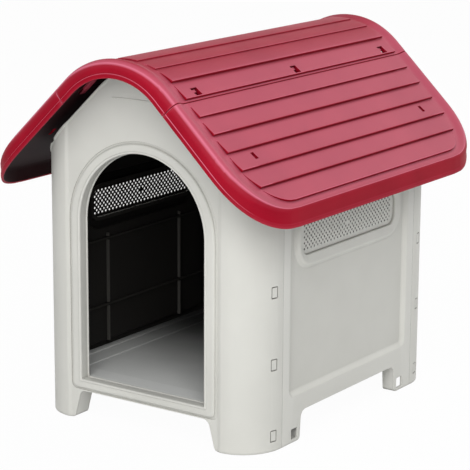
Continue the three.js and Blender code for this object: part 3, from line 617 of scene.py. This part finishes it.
def makeRoofPiece(name, side, materials):
    gap = roofSize["seamGap"] / 2
    cap = roofSize["cap"]
    low, high = (-cap + gap, cap - gap) if side == 0 else (cap + gap, boardsEnd)
    boards = boardList(low)
    endPoints, eavePoints = roofProfiles()
    border = [(boardsHalfLength + a, boardsEnd + a) for a, down in edgeRound]
    centreU = eaveCrest - roofSize["cornerFromEave"]
    centreY = roofSize["halfLength"] - roofSize["cornerFromEnd"]
    normals = []
    count = len(endPoints)
    for i in range(count):
        a, b = endPoints[max(i - 1, 0)], endPoints[min(i + 1, count - 1)]
        normals.append(Vector((-(b[1] - a[1]), b[0] - a[0])).normalized())
    rows = []
    for u, height in roofStations(low, high, boards):
        sine = max((u - centreU) / (boardsEnd - centreU), 0) if side else 0
        sine = min(sine, 1.0)
        cosine = math.sqrt(1 - sine * sine)
        seam = min(abs(u - low), abs(u - high)) if side == 0 else abs(u - low)
        sink = roofSize["seamRound"] * (1 - min(seam / 1.1, 1)) ** 2
        row = []
        for (y, us), (a, down) in zip(border, edgeRound):
            h = max(height - down, 0.0) if down < 5 else (0.35 if a < 0.5 and height > 1 else 0.0)
            place = (centreU + (us - centreU) * sine if sine else u, centreY + (y - centreY) * cosine)
            row.append((place[0], place[1], h - sink))
        for k, ((y, hEnd), (us, hEave), normal) in enumerate(zip(endPoints, eavePoints, normals)):
            h = hEave + (hEnd - hEave) * cosine ** 2
            power = 1 - roofSize["cornerFullness"] * min(k / 12, 1)
            place = (centreU + (us - centreU) * sine ** power if sine else u,
                     centreY + (y - centreY) * cosine ** power)
            row.append((place[0], place[1] - sink * normal.x, h - sink * normal.y))
        rows.append(row)
    bm = bmesh.new()
    flip = -1 if side < 0 else 1
    front = [[bm.verts.new(onRoof(flip * u, -y, h)) for u, y, h in row] for row in rows]
    rear = [[bm.verts.new(onRoof(flip * u, y, h)) for u, y, h in row] for row in rows]
    underFrom = len(border) + len(endPoints) - 5
    for k in range(len(rows) - 1):
        for half in (front, rear):
            for j in range(len(rows[0]) - 1):
                face = bm.faces.new((half[k][j], half[k + 1][j], half[k + 1][j + 1], half[k][j + 1]))
                face.material_index = 1 if j >= underFrom else 0
        bm.faces.new((front[k][0], front[k + 1][0], rear[k + 1][0], rear[k][0]))
        under = bm.faces.new((front[k][-1], front[k + 1][-1], rear[k + 1][-1], rear[k][-1]))
        under.material_index = 1
    if side:
        for j in range(len(rows[0]) - 1):
            face = bm.faces.new((front[-1][j], rear[-1][j], rear[-1][j + 1], front[-1][j + 1]))
            face.material_index = 1 if j >= underFrom else 0
    else:
        bm.faces.new(front[-1] + rear[-1][::-1])
    bm.faces.new(front[0] + rear[0][::-1])
    return finishMesh(bm, name, materials)


def slopeCorners(u0, u1, h0, h1, y0, y1):
    return [onRoof(u, y, h) for h in (h0, h1) for u, y in ((u0, y0), (u1, y0), (u1, y1), (u0, y1))]


hookSize = {"places": (-295, 0, 295), "width": 15, "windowLength": 17, "windowFrom": 6.5, "reach": 23}
boxFaces = ((0, 1, 2, 3), (4, 5, 6, 7), (0, 1, 5, 4), (1, 2, 6, 5), (2, 3, 7, 6), (3, 0, 4, 7))
slotSize = {"y": 272.5, "inner": 207.5, "outer": 219.5, "width": 8.5}


def makeRoof(materials):
    plate = roofSize["plate"]
    ridge = makeRoofPiece("roofRidgeShell", 0, materials)
    cutters = []
    for side in (-1, 1):
        for y in hookSize["places"]:
            far = side * (roofSize["cap"] - hookSize["windowFrom"])
            near = far - side * hookSize["windowLength"]
            half = hookSize["width"] / 2 + 1
            corners = slopeCorners(min(near, far), max(near, far), -9, 12, y - half, y + half)
            cutters.append(blockFrom(corners, "hookWindow"))
    splitRound(ridge, cutters)
    cutWith(ridge, cutters)
    resmooth(ridge)
    slopes = []
    for side, label in ((-1, "Left"), (1, "Right")):
        slope = makeRoofPiece("roof" + label + "Shell", side, materials)
        cutters = []
        for way in (-1, 1):
            x0, x1 = sorted((side * slotSize["inner"], side * slotSize["outer"]))
            y0 = way * slotSize["y"] - slotSize["width"] / 2
            y1 = y0 + slotSize["width"]
            cutters.append(blockFrom([Vector((x, y, z)) for z in (440, 560)
                                      for x, y in ((x0, y0), (x1, y0), (x1, y1), (x0, y1))], "eaveSlot"))
        splitRound(slope, cutters)
        cutWith(slope, cutters)
        resmooth(slope)
        bm = bmesh.new()
        for y in hookSize["places"]:
            half = hookSize["width"] / 2
            cap = roofSize["cap"]
            start = cap - hookSize["reach"] + 1
            for u0, u1, h0, h1, inset in ((start, cap + 14, -plate - 3.3, -plate - 0.3, 0),
                                          (cap + 1.2, cap + 14, -plate - 3.3, -3.4, 0),
                                          (start, start + 5.7, -plate - 1.3, -0.8, 1.5)):
                corners = slopeCorners(side * u0, side * u1, h0, h1, y - half + inset, y + half - inset)
                verts = [bm.verts.new(p) for p in corners]
                for loop in boxFaces:
                    bm.faces.new([verts[i] for i in loop])
        hooks = finishMesh(bm, "roof" + label + "Hooks", materials)
        slopes.append((slope, hooks))
    return ridge, slopes


# ---- end panels

bendStart = bodySize["halfWidth"] - bodySize["corner"]
bendEnd = bendStart + bodySize["corner"] * math.pi / 2
straightHalf = bodySize["halfLength"] - bodySize["corner"]
panelHalf = bendEnd + straightHalf - bodySize["seam"] - bodySize["seamGap"] / 2


columnSize = {"rise": 2.4, "from": -5, "width": 9}      # the corners stand proud of the end faces


def columnRise(run):
    into = min(max((run - bendStart - columnSize["from"]) / columnSize["width"], 0), 1)
    away = min(max((run - bendStart - 10) / (bendEnd - bendStart - 30), 0), 1)
    return columnSize["rise"] * smoothStep(into) * (1 - smoothStep(away))


def wrapRound(point):
    t, z, depth = point
    side = -1 if t < 0 else 1
    run = abs(t)
    depth -= columnRise(run)
    radius = bodySize["corner"] - depth
    if run <= bendStart:
        return Vector((t, -bodySize["halfLength"] + depth, z))
    if run <= bendEnd:
        angle = (run - bendStart) / bodySize["corner"]
        return Vector((side * (bendStart + radius * math.sin(angle)),
                       -(bodySize["halfLength"] - bodySize["corner"]) - radius * math.cos(angle), z))
    return Vector((side * (bodySize["halfWidth"] - depth),
                   -(bodySize["halfLength"] - bodySize["corner"]) + run - bendEnd, z))


def alongWrap(y):
    angle = math.acos((abs(y) - (bodySize["halfLength"] - bodySize["corner"])) / bodySize["corner"])
    return bendStart + bodySize["corner"] * angle


def gableEdge(t, below=0.0):
    x = abs(wrapRound((t, 0, 0)).x)
    radius = roofSize["ridgeRadius"] - roofSize["standoff"] - below
    if x < radius * math.sin(pitch):
        return ridgeCentre + math.sqrt(radius * radius - x * x)
    return apexHeight - x * math.tan(pitch) - (roofSize["standoff"] + below) / math.cos(pitch)


archSize = {"endHeight": 52.5, "endFoot": 152, "endTop": 138, "sideHeight": 51, "sideFoot": 160,
            "sideTop": 156, "fillet": 14, "toe": 8, "endReturn": 37, "sideReturn": 25}
doorSize = {"half": 132.2, "sill": 75.6, "spring": 361.5, "band": 20.6, "bandDrop": 16.6, "relief": 4,
            "depth": 17, "corner": 8, "groove": 5.0, "grooveDepth": 1.3}


def archPath(height, foot, top, outer, grow=0.0):
    return roundedPath([(-outer, 0, 0), (-foot - grow, 0, archSize["toe"] - grow),
                        (-top - grow, height + grow, archSize["fillet"]),
                        (top + grow, height + grow, archSize["fillet"]),
                        (foot + grow, 0, archSize["toe"] - grow), (outer, 0, 0)], 8, closed=False)


def archOf(wallKind, outer, grow=0.0):
    return archPath(archSize[wallKind + "Height"], archSize[wallKind + "Foot"], archSize[wallKind + "Top"],
                    outer, grow)


def lipSection(reach):
    start = bodySize["wall"] - 0.5
    return ((0.0, start), (0.0, reach - 0.8), (0.8, reach), (3.2, reach), (4.0, reach - 0.8), (4.0, start))


def addArchReturn(bm, wallKind, outer, place):
    section = lipSection(archSize[wallKind + "Return"])
    paths = [archOf(wallKind, outer, grow)[1:-1] for grow, depth in section]
    rings = [[place(path[k].x, path[k].y, depth) for path, (grow, depth) in zip(paths, section)]
             for k in range(len(paths[0]))]
    addLoft(bm, rings, capFirst=True, capLast=True)


def onEnd(x, z, depth):
    return Vector((x, -bodySize["halfLength"] + depth, z))


gableSize = {"flange": 24, "flangeReach": 38, "lineHeight": 584.5, "lineHalf": 62, "lineDroop": 1.5}


def doorLoop(grow):
    half = doorSize["half"] + grow
    low = doorSize["sill"] - grow * doorSize["bandDrop"] / doorSize["band"]
    radius = 1.2 + max(grow, 0) * doorSize["corner"] / doorSize["band"]
    loop = roundedPath([(half, doorSize["spring"], 0), (-half, doorSize["spring"], 0), (-half, low, radius),
                        (half, low, radius)], 6)[2:]
    rise = half - grow * (1 - doorSize["bandDrop"] / doorSize["band"])
    for k in range(65):
        angle = math.pi * k / 64
        loop.append(Vector((half * math.cos(angle), doorSize["spring"] + rise * math.sin(angle))))
    return loop


def makeEndPanel(name, hasDoor, materials):
    wall, edge = bodySize["wall"], bodySize["edge"]
    outline = archOf("end", panelHalf)
    steps = 150
    for k in range(steps + 1):
        t = panelHalf * (1 - 2 * k / steps)
        outline.append(Vector((t, gableEdge(t))))
    windows = []
    for height in lockHeights:
        t0, t1 = alongWrap(lockSize["to"]), alongWrap(lockSize["from"])
        for side in (-1, 1):
            a, b = sorted((side * t0, side * t1))
            windows.append(rectanglePath(a, b, height - lockSize["height"] / 2,
                                         height + lockSize["height"] / 2, 1.5, 3))
    holes = list(windows)
    if hasDoor:
        holes.append(doorLoop(doorSize["band"] + doorSize["groove"]))
    sheet = bmesh.new()
    addPlate(sheet, outline, holes, wall, edge)
    bends = [bendStart + (bendEnd - bendStart) * k / 24 for k in range(25)]
    bends += [bendStart + columnSize["from"] + columnSize["width"] * k / 6 for k in range(7)]
    cutAlong(sheet, [side * bend for side in (-1, 1) for bend in bends])
    bm = bmesh.new()
    joinInto(bm, sheet, wrapRound)
    # raised lip along both slopes of the gable
    section = ((0.0, 1.0), (0.0, -0.7), (0.4, -1.3), (1.1, -1.5), (3.0, -1.5), (3.8, -1.2), (4.3, -0.4),
               (4.6, 1.0))
    rings = []
    for k in range(steps + 1):
        t = (bendEnd - 10) * (1 - 2 * k / steps)
        rings.append([wrapRound((t, gableEdge(t, below), depth)) for below, depth in section])
    addLoft(bm, rings, capFirst=True, capLast=True)
    # flange under the slopes
    section = lipSection(gableSize["flange"])
    rings = []
    for k in range(steps + 1):
        x = (bendStart + gableSize["flangeReach"]) * (1 - 2 * k / steps)
        rings.append([onEnd(x, gableEdge(x, below), depth) for below, depth in section])
    addLoft(bm, rings, capFirst=True, capLast=True, inner=range(steps))
    # return behind the arch between the feet
    addArchReturn(bm, "end", panelHalf, onEnd)
    # moulded line on the gable
    half = gableSize["lineHalf"]
    section = ((-1.1, 0.3), (-1.0, -0.9), (-0.4, -1.2), (0.4, -1.1), (1.9, 0.3))
    rings = []
    for k in range(25):
        x = half * (1 - 2 * k / 24)
        z = gableSize["lineHeight"] - gableSize["lineDroop"] * (abs(x) / half) ** 6
        rings.append([onEnd(x, z + dz, depth) for dz, depth in section])
    addLoft(bm, rings, capFirst=True, capLast=True)
    if hasDoor:
        relief, depth = doorSize["relief"], doorSize["depth"]
        band = doorSize["band"]
        groove, low = band + doorSize["groove"], doorSize["grooveDepth"]
        profile = [(groove + 0.8, low), (groove - 1.6, low), (band + 1.6, low - 0.3), (band + 0.6, low - 0.9),
                   (band + 0.1, -0.1)]
        for k in range(7):                                   # round shoulder of the band
            angle = math.pi / 2 * k / 6
            profile.append((band - 4.2 + 4.2 * math.cos(angle), -0.8 - (relief - 0.8) * math.sin(angle)))
        profile += [(9.0, -relief - 0.3), (6.2, -relief), (5.2, -relief - 0.2), (4.4, -relief - 1.1),
                    (3.4, -relief - 1.5), (2.2, -relief - 1.4), (1.0, -relief - 0.8), (0.25, -relief + 0.4),
                    (0.0, -relief + 2.0), (0.4, depth - 4.6), (0.1, depth - 3.8), (-0.9, depth - 3.0),
                    (-1.3, depth - 1.8), (-0.9, depth - 0.6), (0.2, depth), (2.8, depth),
                    (3.6, depth - 0.3), (4.0, depth - 1.2), (4.0, wall), (groove + 0.8, wall)]
        rings = [[onEnd(p.x, p.y, d) for p in doorLoop(g)] for g, d in profile]
        addLoft(bm, rings, closedStack=True, inner=range(len(profile) - 5, len(profile)))
    return finishMesh(bm, name, materials)


# ---- side walls

recessSize = {"half": 194, "low": 82.5, "high": 446, "depth": 8, "corner": 14}
ventSize = {"height": 352.5, "half": 173.5, "halfHeight": 54.5, "corner": 46, "openHalf": 154,
            "openHalfHeight": 30.5, "openCorner": 20, "lip": 3, "collar": 7}
# each step of the bezel round the vent: how far in, and how far behind the recess
bezelSteps = ((-1.8, 0), (-0.4, -0.4), (1.0, -1.5), (4.2, -5.4), (5.6, -6.8), (7.4, -7.7), (9.2, -7.9),
              (11.0, -7.5), (12.6, -6.6))
footSlot = {"from": 168, "to": 187, "low": 6, "high": 24.5, "corner": 2.0}


def recessLoop(inset):
    return rectanglePath(-recessSize["half"] + inset, recessSize["half"] - inset, recessSize["low"] + inset,
                         recessSize["high"] - inset, max(recessSize["corner"] - inset, 2.0), 10)


def ventLoop(share, extra=0.0):
    half = ventSize["half"] + (ventSize["openHalf"] - ventSize["half"]) * share - extra
    tall = ventSize["halfHeight"] + (ventSize["openHalfHeight"] - ventSize["halfHeight"]) * share - extra
    radius = ventSize["corner"] + (ventSize["openCorner"] - ventSize["corner"]) * share - extra
    return rectanglePath(-half, half, ventSize["height"] - tall, ventSize["height"] + tall, radius, 10)


def makeSideWall(name, side, materials):
    wall, edge, half = bodySize["wall"], bodySize["edge"], bodySize["halfWidth"]
    end = bodySize["seam"] - bodySize["seamGap"] / 2
    top = bodySize["wallTop"] - 0.3

    def place(along, z, depth):
        return Vector((side * (half - depth), along, z))

    outline = archOf("side", end)
    outline += [Vector((end, top)), Vector((-end, top))]
    slots = []
    for way in (-1, 1):
        near, far = sorted((way * footSlot["from"], way * footSlot["to"]))
        slots.append(rectanglePath(near, far, footSlot["low"], footSlot["high"], footSlot["corner"], 3))
    sheet = bmesh.new()
    addPlate(sheet, outline, slots, wall, edge, plainHoles=[recessLoop(-2.5)])
    bm = bmesh.new()
    joinInto(bm, sheet, lambda p: place(*p))
    depth = recessSize["depth"]
    lip, collar = ventSize["lip"], ventSize["collar"]
    rim = ((-2.5, 0.0), (-1.2, 0.12), (0.0, 0.5), (1.0, 1.2), (depth - 1.2, depth - 1.0),
           (depth, depth - 0.3), (depth + 1.6, depth))
    stack = [(recessLoop(inset), d) for inset, d in rim]
    stack += [(ventLoop(0, inset), depth + d) for inset, d in bezelSteps]
    stack += [(ventLoop(0.97), 3.6), (ventLoop(1.0), 4.4), (ventLoop(1.0, 0.3), depth + 1.4)]
    innerFrom = len(stack) + 1                               # behind the ledge that the grille sits on
    stack += [(ventLoop(1.0, lip), depth + 1.8), (ventLoop(1.0, lip), depth + collar),
              (ventLoop(1.0, -4), depth + collar), (ventLoop(1.0, -4), depth + wall - 4.2),
              (ventLoop(0, 6.5), depth - 3.0), (ventLoop(0, 4.0), depth + wall - 2),
              (ventLoop(0, 3.0), depth + wall), (recessLoop(depth + 2), depth + wall),
              (recessLoop(depth - 3), depth + wall - 1), (recessLoop(-1.6), wall),
              (recessLoop(-2.5), wall - 0.3)]
    rings = [[place(p.x, p.y, d) for p in loop] for loop, d in stack]
    addLoft(bm, rings, closedStack=True, inner=range(innerFrom, len(stack)))
    addArchReturn(bm, "side", end, place)
    # tongues behind the wraps, and their pads
    for way in (-1, 1):
        for height in lockHeights:
            pad = bmesh.new()
            margin = lockSize["padMargin"]
            t0, t1 = alongWrap(lockSize["to"]) + margin, alongWrap(lockSize["from"]) - margin
            tall = lockSize["height"] / 2 - margin
            addPlate(pad, rectanglePath(t0, t1, height - tall, height + tall, 1.0, 3), [], 4.6, 0.7)
            joinInto(bm, pad, lambda p, w=way: mirrorEnd(wrapRound((p[0], p[1], p[2] + 0.5)), side, w))
            tongue = bmesh.new()
            tall = lockSize["tongue"] / 2
            tip = alongWrap(lockSize["to"] + 3)
            blade = rectanglePath(tip, panelHalf + 10, height - tall, height + tall, 2, 3)
            addPlate(tongue, blade, [], lockSize["thick"], 0.6)
            cutAlong(tongue, [bendStart + (bendEnd - bendStart) * k / 24 for k in range(12, 25)])
            joinInto(bm, tongue, lambda p, w=way: mirrorEnd(wrapRound((p[0], p[1], p[2] + 4.3)), side, w))
    return finishMesh(bm, name, materials)


def mirrorEnd(point, side, way):
    return Vector((side * point.x, -way * point.y if way > 0 else point.y, point.z))


# ---- floor

floorSize = {"halfX": 231.2, "halfY": 277.7, "corner": 60}
# the floor's rim and its shallow tray: how far in, and how high
floorSteps = ((3, 56), (0.6, 55.4), (0, 56), (0, 73.8), (0.35, 74.65), (1.2, 75), (13.6, 75), (14.6, 74.6),
              (15.4, 73.6), (16.2, 72.7), (17.4, 72.5), (48.6, 72.5), (49.6, 72.2), (50.4, 71.2),
              (51.4, 70.6), (53, 70.5))


def makeFloorPanel(name, materials):

    def loop(inset, z):
        x, y = floorSize["halfX"] - inset, floorSize["halfY"] - inset
        corner = max(floorSize["corner"] - inset, 6)
        return [Vector((p.x, p.y, z)) for p in rectanglePath(-x, x, -y, y, corner, 12)]

    bm = bmesh.new()
    addLoft(bm, [loop(inset, z) for inset, z in floorSteps], capLast=True)
    addLoft(bm, [loop(3, 56), loop(3, 66.5), loop(5, 67)], capLast=True)
    return finishMesh(bm, name, materials)


# ---- what repeats: ribs and perforations, by Geometry Nodes

def newTree(name, sockets):
    tree = bpy.data.node_groups.new(name, "GeometryNodeTree")
    tree.interface.new_socket("Geometry", in_out="INPUT", socket_type="NodeSocketGeometry")
    for label, kind in sockets:
        tree.interface.new_socket(label, in_out="INPUT", socket_type="NodeSocket" + kind)
    tree.interface.new_socket("Geometry", in_out="OUTPUT", socket_type="NodeSocketGeometry")
    return tree, tree.nodes.new("NodeGroupInput")


def endTree(tree, geometry, material):
    flat = addNode(tree, "GeometryNodeSetShadeSmooth", {"Shade Smooth": False}, {"Geometry": geometry})
    real = addNode(tree, "GeometryNodeRealizeInstances", links={"Geometry": flat.outputs[0]})
    dressed = addNode(tree, "GeometryNodeSetMaterial",
                      links={"Geometry": real.outputs[0], "Material": material})
    addNode(tree, "NodeGroupOutput", links={0: dressed.outputs[0]})


def ribTree():
    tree, given = newTree("ribRow", (("Count", "Int"), ("Start", "Vector"), ("Step", "Vector"),
                                     ("Size", "Vector"), ("Material", "Material")))
    rib = addNode(tree, "GeometryNodeMeshCube", links={"Size": given.outputs["Size"]})
    line = addNode(tree, "GeometryNodeMeshLine", links={"Count": given.outputs["Count"],
                                                        "Start Location": given.outputs["Start"],
                                                        "Offset": given.outputs["Step"]}, mode="OFFSET")
    copies = addNode(tree, "GeometryNodeInstanceOnPoints", links={"Points": line.outputs["Mesh"],
                                                                  "Instance": rib.outputs["Mesh"]})
    endTree(tree, copies.outputs["Instances"], given.outputs["Material"])
    return tree


def holeTree():
    tree, given = newTree("ventHoles", (("Columns", "Int"), ("Rows", "Int"), ("Column Pitch", "Float"),
                                        ("Row Pitch", "Float"), ("Radius", "Float"), ("Depth", "Float"),
                                        ("Middle", "Vector"), ("Turn", "Vector"), ("Gate Radius", "Float"),
                                        ("Material", "Material")))

    def times(count, pitch):
        fewer = addNode(tree, "ShaderNodeMath", {1: 1.0}, {0: count}, operation="SUBTRACT")
        span = addNode(tree, "ShaderNodeMath", links={0: fewer.outputs[0], 1: pitch}, operation="MULTIPLY")
        return span.outputs[0]

    columns, rows = given.outputs["Columns"], given.outputs["Rows"]
    pitchX = given.outputs["Column Pitch"]
    grid = addNode(tree, "GeometryNodeMeshGrid", links={"Size X": times(columns, pitchX),
                                                        "Size Y": times(rows, given.outputs["Row Pitch"]),
                                                        "Vertices X": columns, "Vertices Y": rows})
    index = addNode(tree, "GeometryNodeInputIndex")
    row = addNode(tree, "ShaderNodeMath", links={0: index.outputs[0], 1: rows}, operation="MODULO")
    odd = addNode(tree, "ShaderNodeMath", {1: 2.0}, {0: row.outputs[0]}, operation="MODULO")
    middle = addNode(tree, "ShaderNodeMath", {1: 0.5}, {0: odd.outputs[0]}, operation="SUBTRACT")
    slide = addNode(tree, "ShaderNodeMath", {1: 0.5}, {0: middle.outputs[0]}, operation="MULTIPLY")
    amount = addNode(tree, "ShaderNodeMath", links={0: slide.outputs[0], 1: pitchX}, operation="MULTIPLY")
    offset = addNode(tree, "ShaderNodeCombineXYZ", links={"X": amount.outputs[0]})
    staggered = addNode(tree, "GeometryNodeSetPosition", links={"Geometry": grid.outputs["Mesh"],
                                                                "Offset": offset.outputs[0]})
    where = addNode(tree, "GeometryNodeInputPosition")
    far = addNode(tree, "ShaderNodeVectorMath", links={0: where.outputs[0]}, operation="LENGTH")
    gate = addNode(tree, "FunctionNodeCompare",
                   links={0: far.outputs["Value"], 1: given.outputs["Gate Radius"]},
                   operation="LESS_THAN", data_type="FLOAT")
    kept = addNode(tree, "GeometryNodeDeleteGeometry", links={"Geometry": staggered.outputs[0],
                                                              "Selection": gate.outputs[0]}, domain="POINT")
    drill = addNode(tree, "GeometryNodeMeshCylinder", {"Vertices": 14}, {"Radius": given.outputs["Radius"],
                                                                         "Depth": given.outputs["Depth"]})
    drills = addNode(tree, "GeometryNodeInstanceOnPoints", links={"Points": kept.outputs[0],
                                                                  "Instance": drill.outputs["Mesh"]})
    real = addNode(tree, "GeometryNodeRealizeInstances", links={"Geometry": drills.outputs["Instances"]})
    placed = addNode(tree, "GeometryNodeTransform", links={"Geometry": real.outputs[0],
                                                           "Translation": given.outputs["Middle"],
                                                           "Rotation": given.outputs["Turn"]})
    cut = addNode(tree, "GeometryNodeMeshBoolean",
                  links={"Mesh 1": given.outputs["Geometry"], "Mesh 2": placed.outputs[0]},
                  operation="DIFFERENCE")
    endTree(tree, cut.outputs["Mesh"], given.outputs["Material"])
    return tree


def applyTree(piece, tree, values):
    step = piece.modifiers.new("nodes", "NODES")
    step.node_group = tree
    for item in tree.interface.items_tree:
        if item.in_out == "INPUT" and item.name in values:
            step[item.identifier] = values[item.name]
    graph = bpy.context.evaluated_depsgraph_get()
    mesh = bpy.data.meshes.new_from_object(piece.evaluated_get(graph))
    piece.modifiers.remove(step)
    old = piece.data
    piece.data = mesh
    bpy.data.meshes.remove(old)
    return piece


def makeRibs(name, settings, material):
    piece = bpy.data.objects.new(name, bpy.data.meshes.new(name))
    bpy.context.scene.collection.objects.link(piece)
    values = {"Count": settings["count"], "Material": material}
    for label, key in (("Start", "start"), ("Step", "step"), ("Size", "size")):
        values[label] = [v * mm for v in settings[key]]
    return applyTree(piece, ribs, values)


grilleSettings = {"halfLength": 153.4, "halfHeight": 29.9, "corner": 19.4, "thick": 1.4, "depth": 8.3,
                  "columns": 27, "rows": 9, "columnPitch": 10.6, "rowPitch": 5.1, "radius": 2.25, "gate": 4.5,
                  "height": ventSize["height"]}


def makeGrille(name, side, materials):
    s = grilleSettings
    outline = rectanglePath(-s["halfLength"], s["halfLength"], s["height"] - s["halfHeight"],
                            s["height"] + s["halfHeight"], s["corner"], 10)
    plate = bmesh.new()
    addPlate(plate, outline, [], s["thick"], 0.5)
    bm = bmesh.new()
    joinInto(bm, plate, lambda p: Vector((side * (bodySize["halfWidth"] - s["depth"] - p[2]), p[0], p[1])))
    piece = finishMesh(bm, name, materials)
    x = side * (bodySize["halfWidth"] - s["depth"] - s["thick"] / 2)
    applyTree(piece, holes, {
        "Columns": s["columns"], "Rows": s["rows"], "Column Pitch": s["columnPitch"] * mm,
        "Row Pitch": s["rowPitch"] * mm, "Radius": s["radius"] * mm, "Depth": s["thick"] * 3 * mm,
        "Middle": (x * mm, 0, s["height"] * mm), "Turn": (math.pi / 2, 0, math.pi / 2),
        "Gate Radius": s["gate"] * mm, "Material": materials[0]})
    piece.data.materials.append(materials[1])
    for face in piece.data.polygons:
        face.material_index = 1 if face.normal.x * side < -0.5 else 0
    resmooth(piece, 30)
    return piece


def joinPieces(piece, others):
    bm = bmesh.new()
    bm.from_mesh(piece.data)
    for other in others:
        table = {}
        for index, material in enumerate(other.data.materials):
            if material and material.name not in piece.data.materials:
                piece.data.materials.append(material)
            table[index] = piece.data.materials.find(material.name) if material else 0
        first = len(bm.faces)
        bm.from_mesh(other.data)
        bm.faces.ensure_lookup_table()
        for face in bm.faces[first:]:
            face.material_index = table.get(face.material_index, 0)
        old = other.data
        bpy.data.objects.remove(other)
        bpy.data.meshes.remove(old)
    bm.to_mesh(piece.data)
    bm.free()


ribs = ribTree()
holes = holeTree()


# ---- the house

def weighNormals(piece):
    step = piece.modifiers.new("evenShading", "WEIGHTED_NORMAL")
    step.keep_sharp = True
    step.weight = 80


def dress(piece, node, body):
    weighNormals(piece)
    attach(piece, body)
    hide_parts(node)


# the uprights stop short of the level ribs that they would cross
ribSettings = {"thick": 3, "uprights": ((86, 152.5), (159.5, 278), (285, 291)), "uprightSpan": 220,
               "uprightDeep": 6, "levelFrom": 156, "levelStep": 125.5, "levelLength": 376, "levelDeep": 5}


def wallRibs(side):
    x = side * (bodySize["halfWidth"] - recessSize["depth"] - bodySize["wall"] - 2.5)
    thick, near = ribSettings["thick"], -ribSettings["uprightSpan"] / 2
    columns = []
    for low, high in ribSettings["uprights"]:
        columns.append({"count": 2, "start": (x, near, (low + high) / 2), "step": (0, -near * 2, 0),
                        "size": (ribSettings["uprightDeep"], thick, high - low)})
    level = {"count": 2, "start": (x, 0, ribSettings["levelFrom"]), "step": (0, 0, ribSettings["levelStep"]),
             "size": (ribSettings["levelDeep"], ribSettings["levelLength"], thick)}
    return columns, level


walls = [wallPlastic, innerPlastic]
front = makeEndPanel("frontPanelShell", True, walls)
dress(front, "front_panel", "root")
rear = makeEndPanel("rearPanelShell", False, walls)
rear.data.transform(Matrix.Rotation(math.pi, 4, "Z"))
dress(rear, "rear_panel", "root")
print("end panels made")
for side, label in ((-1, "left"), (1, "right")):
    wall = makeSideWall(label + "WallShell", side, walls)
    columns, level = wallRibs(side)
    rows = [makeRibs("ribs", column, ribPlastic) for column in columns]
    joinPieces(wall, rows + [makeRibs("ribs", level, innerPlastic)])
    dress(wall, label + "_wall", "root")
    grille = makeGrille(label + "VentGrille", side, walls)
    dress(grille, "vent_grille_" + label, "root")
print("side walls and vents made")
floorShell = makeFloorPanel("floorShell", [floorPlastic])
dress(floorShell, "floor_panel", "root")
print("floor made")
ridge, slopes = makeRoof([roofPlastic, roofInnerPlastic])
dress(ridge, "roof_ridge", "roof")
for (slope, hooks), label in zip(slopes, ("left", "right")):
    joinPieces(slope, [hooks])
    dress(slope, "roof_" + label, "roof")
print("roof made")
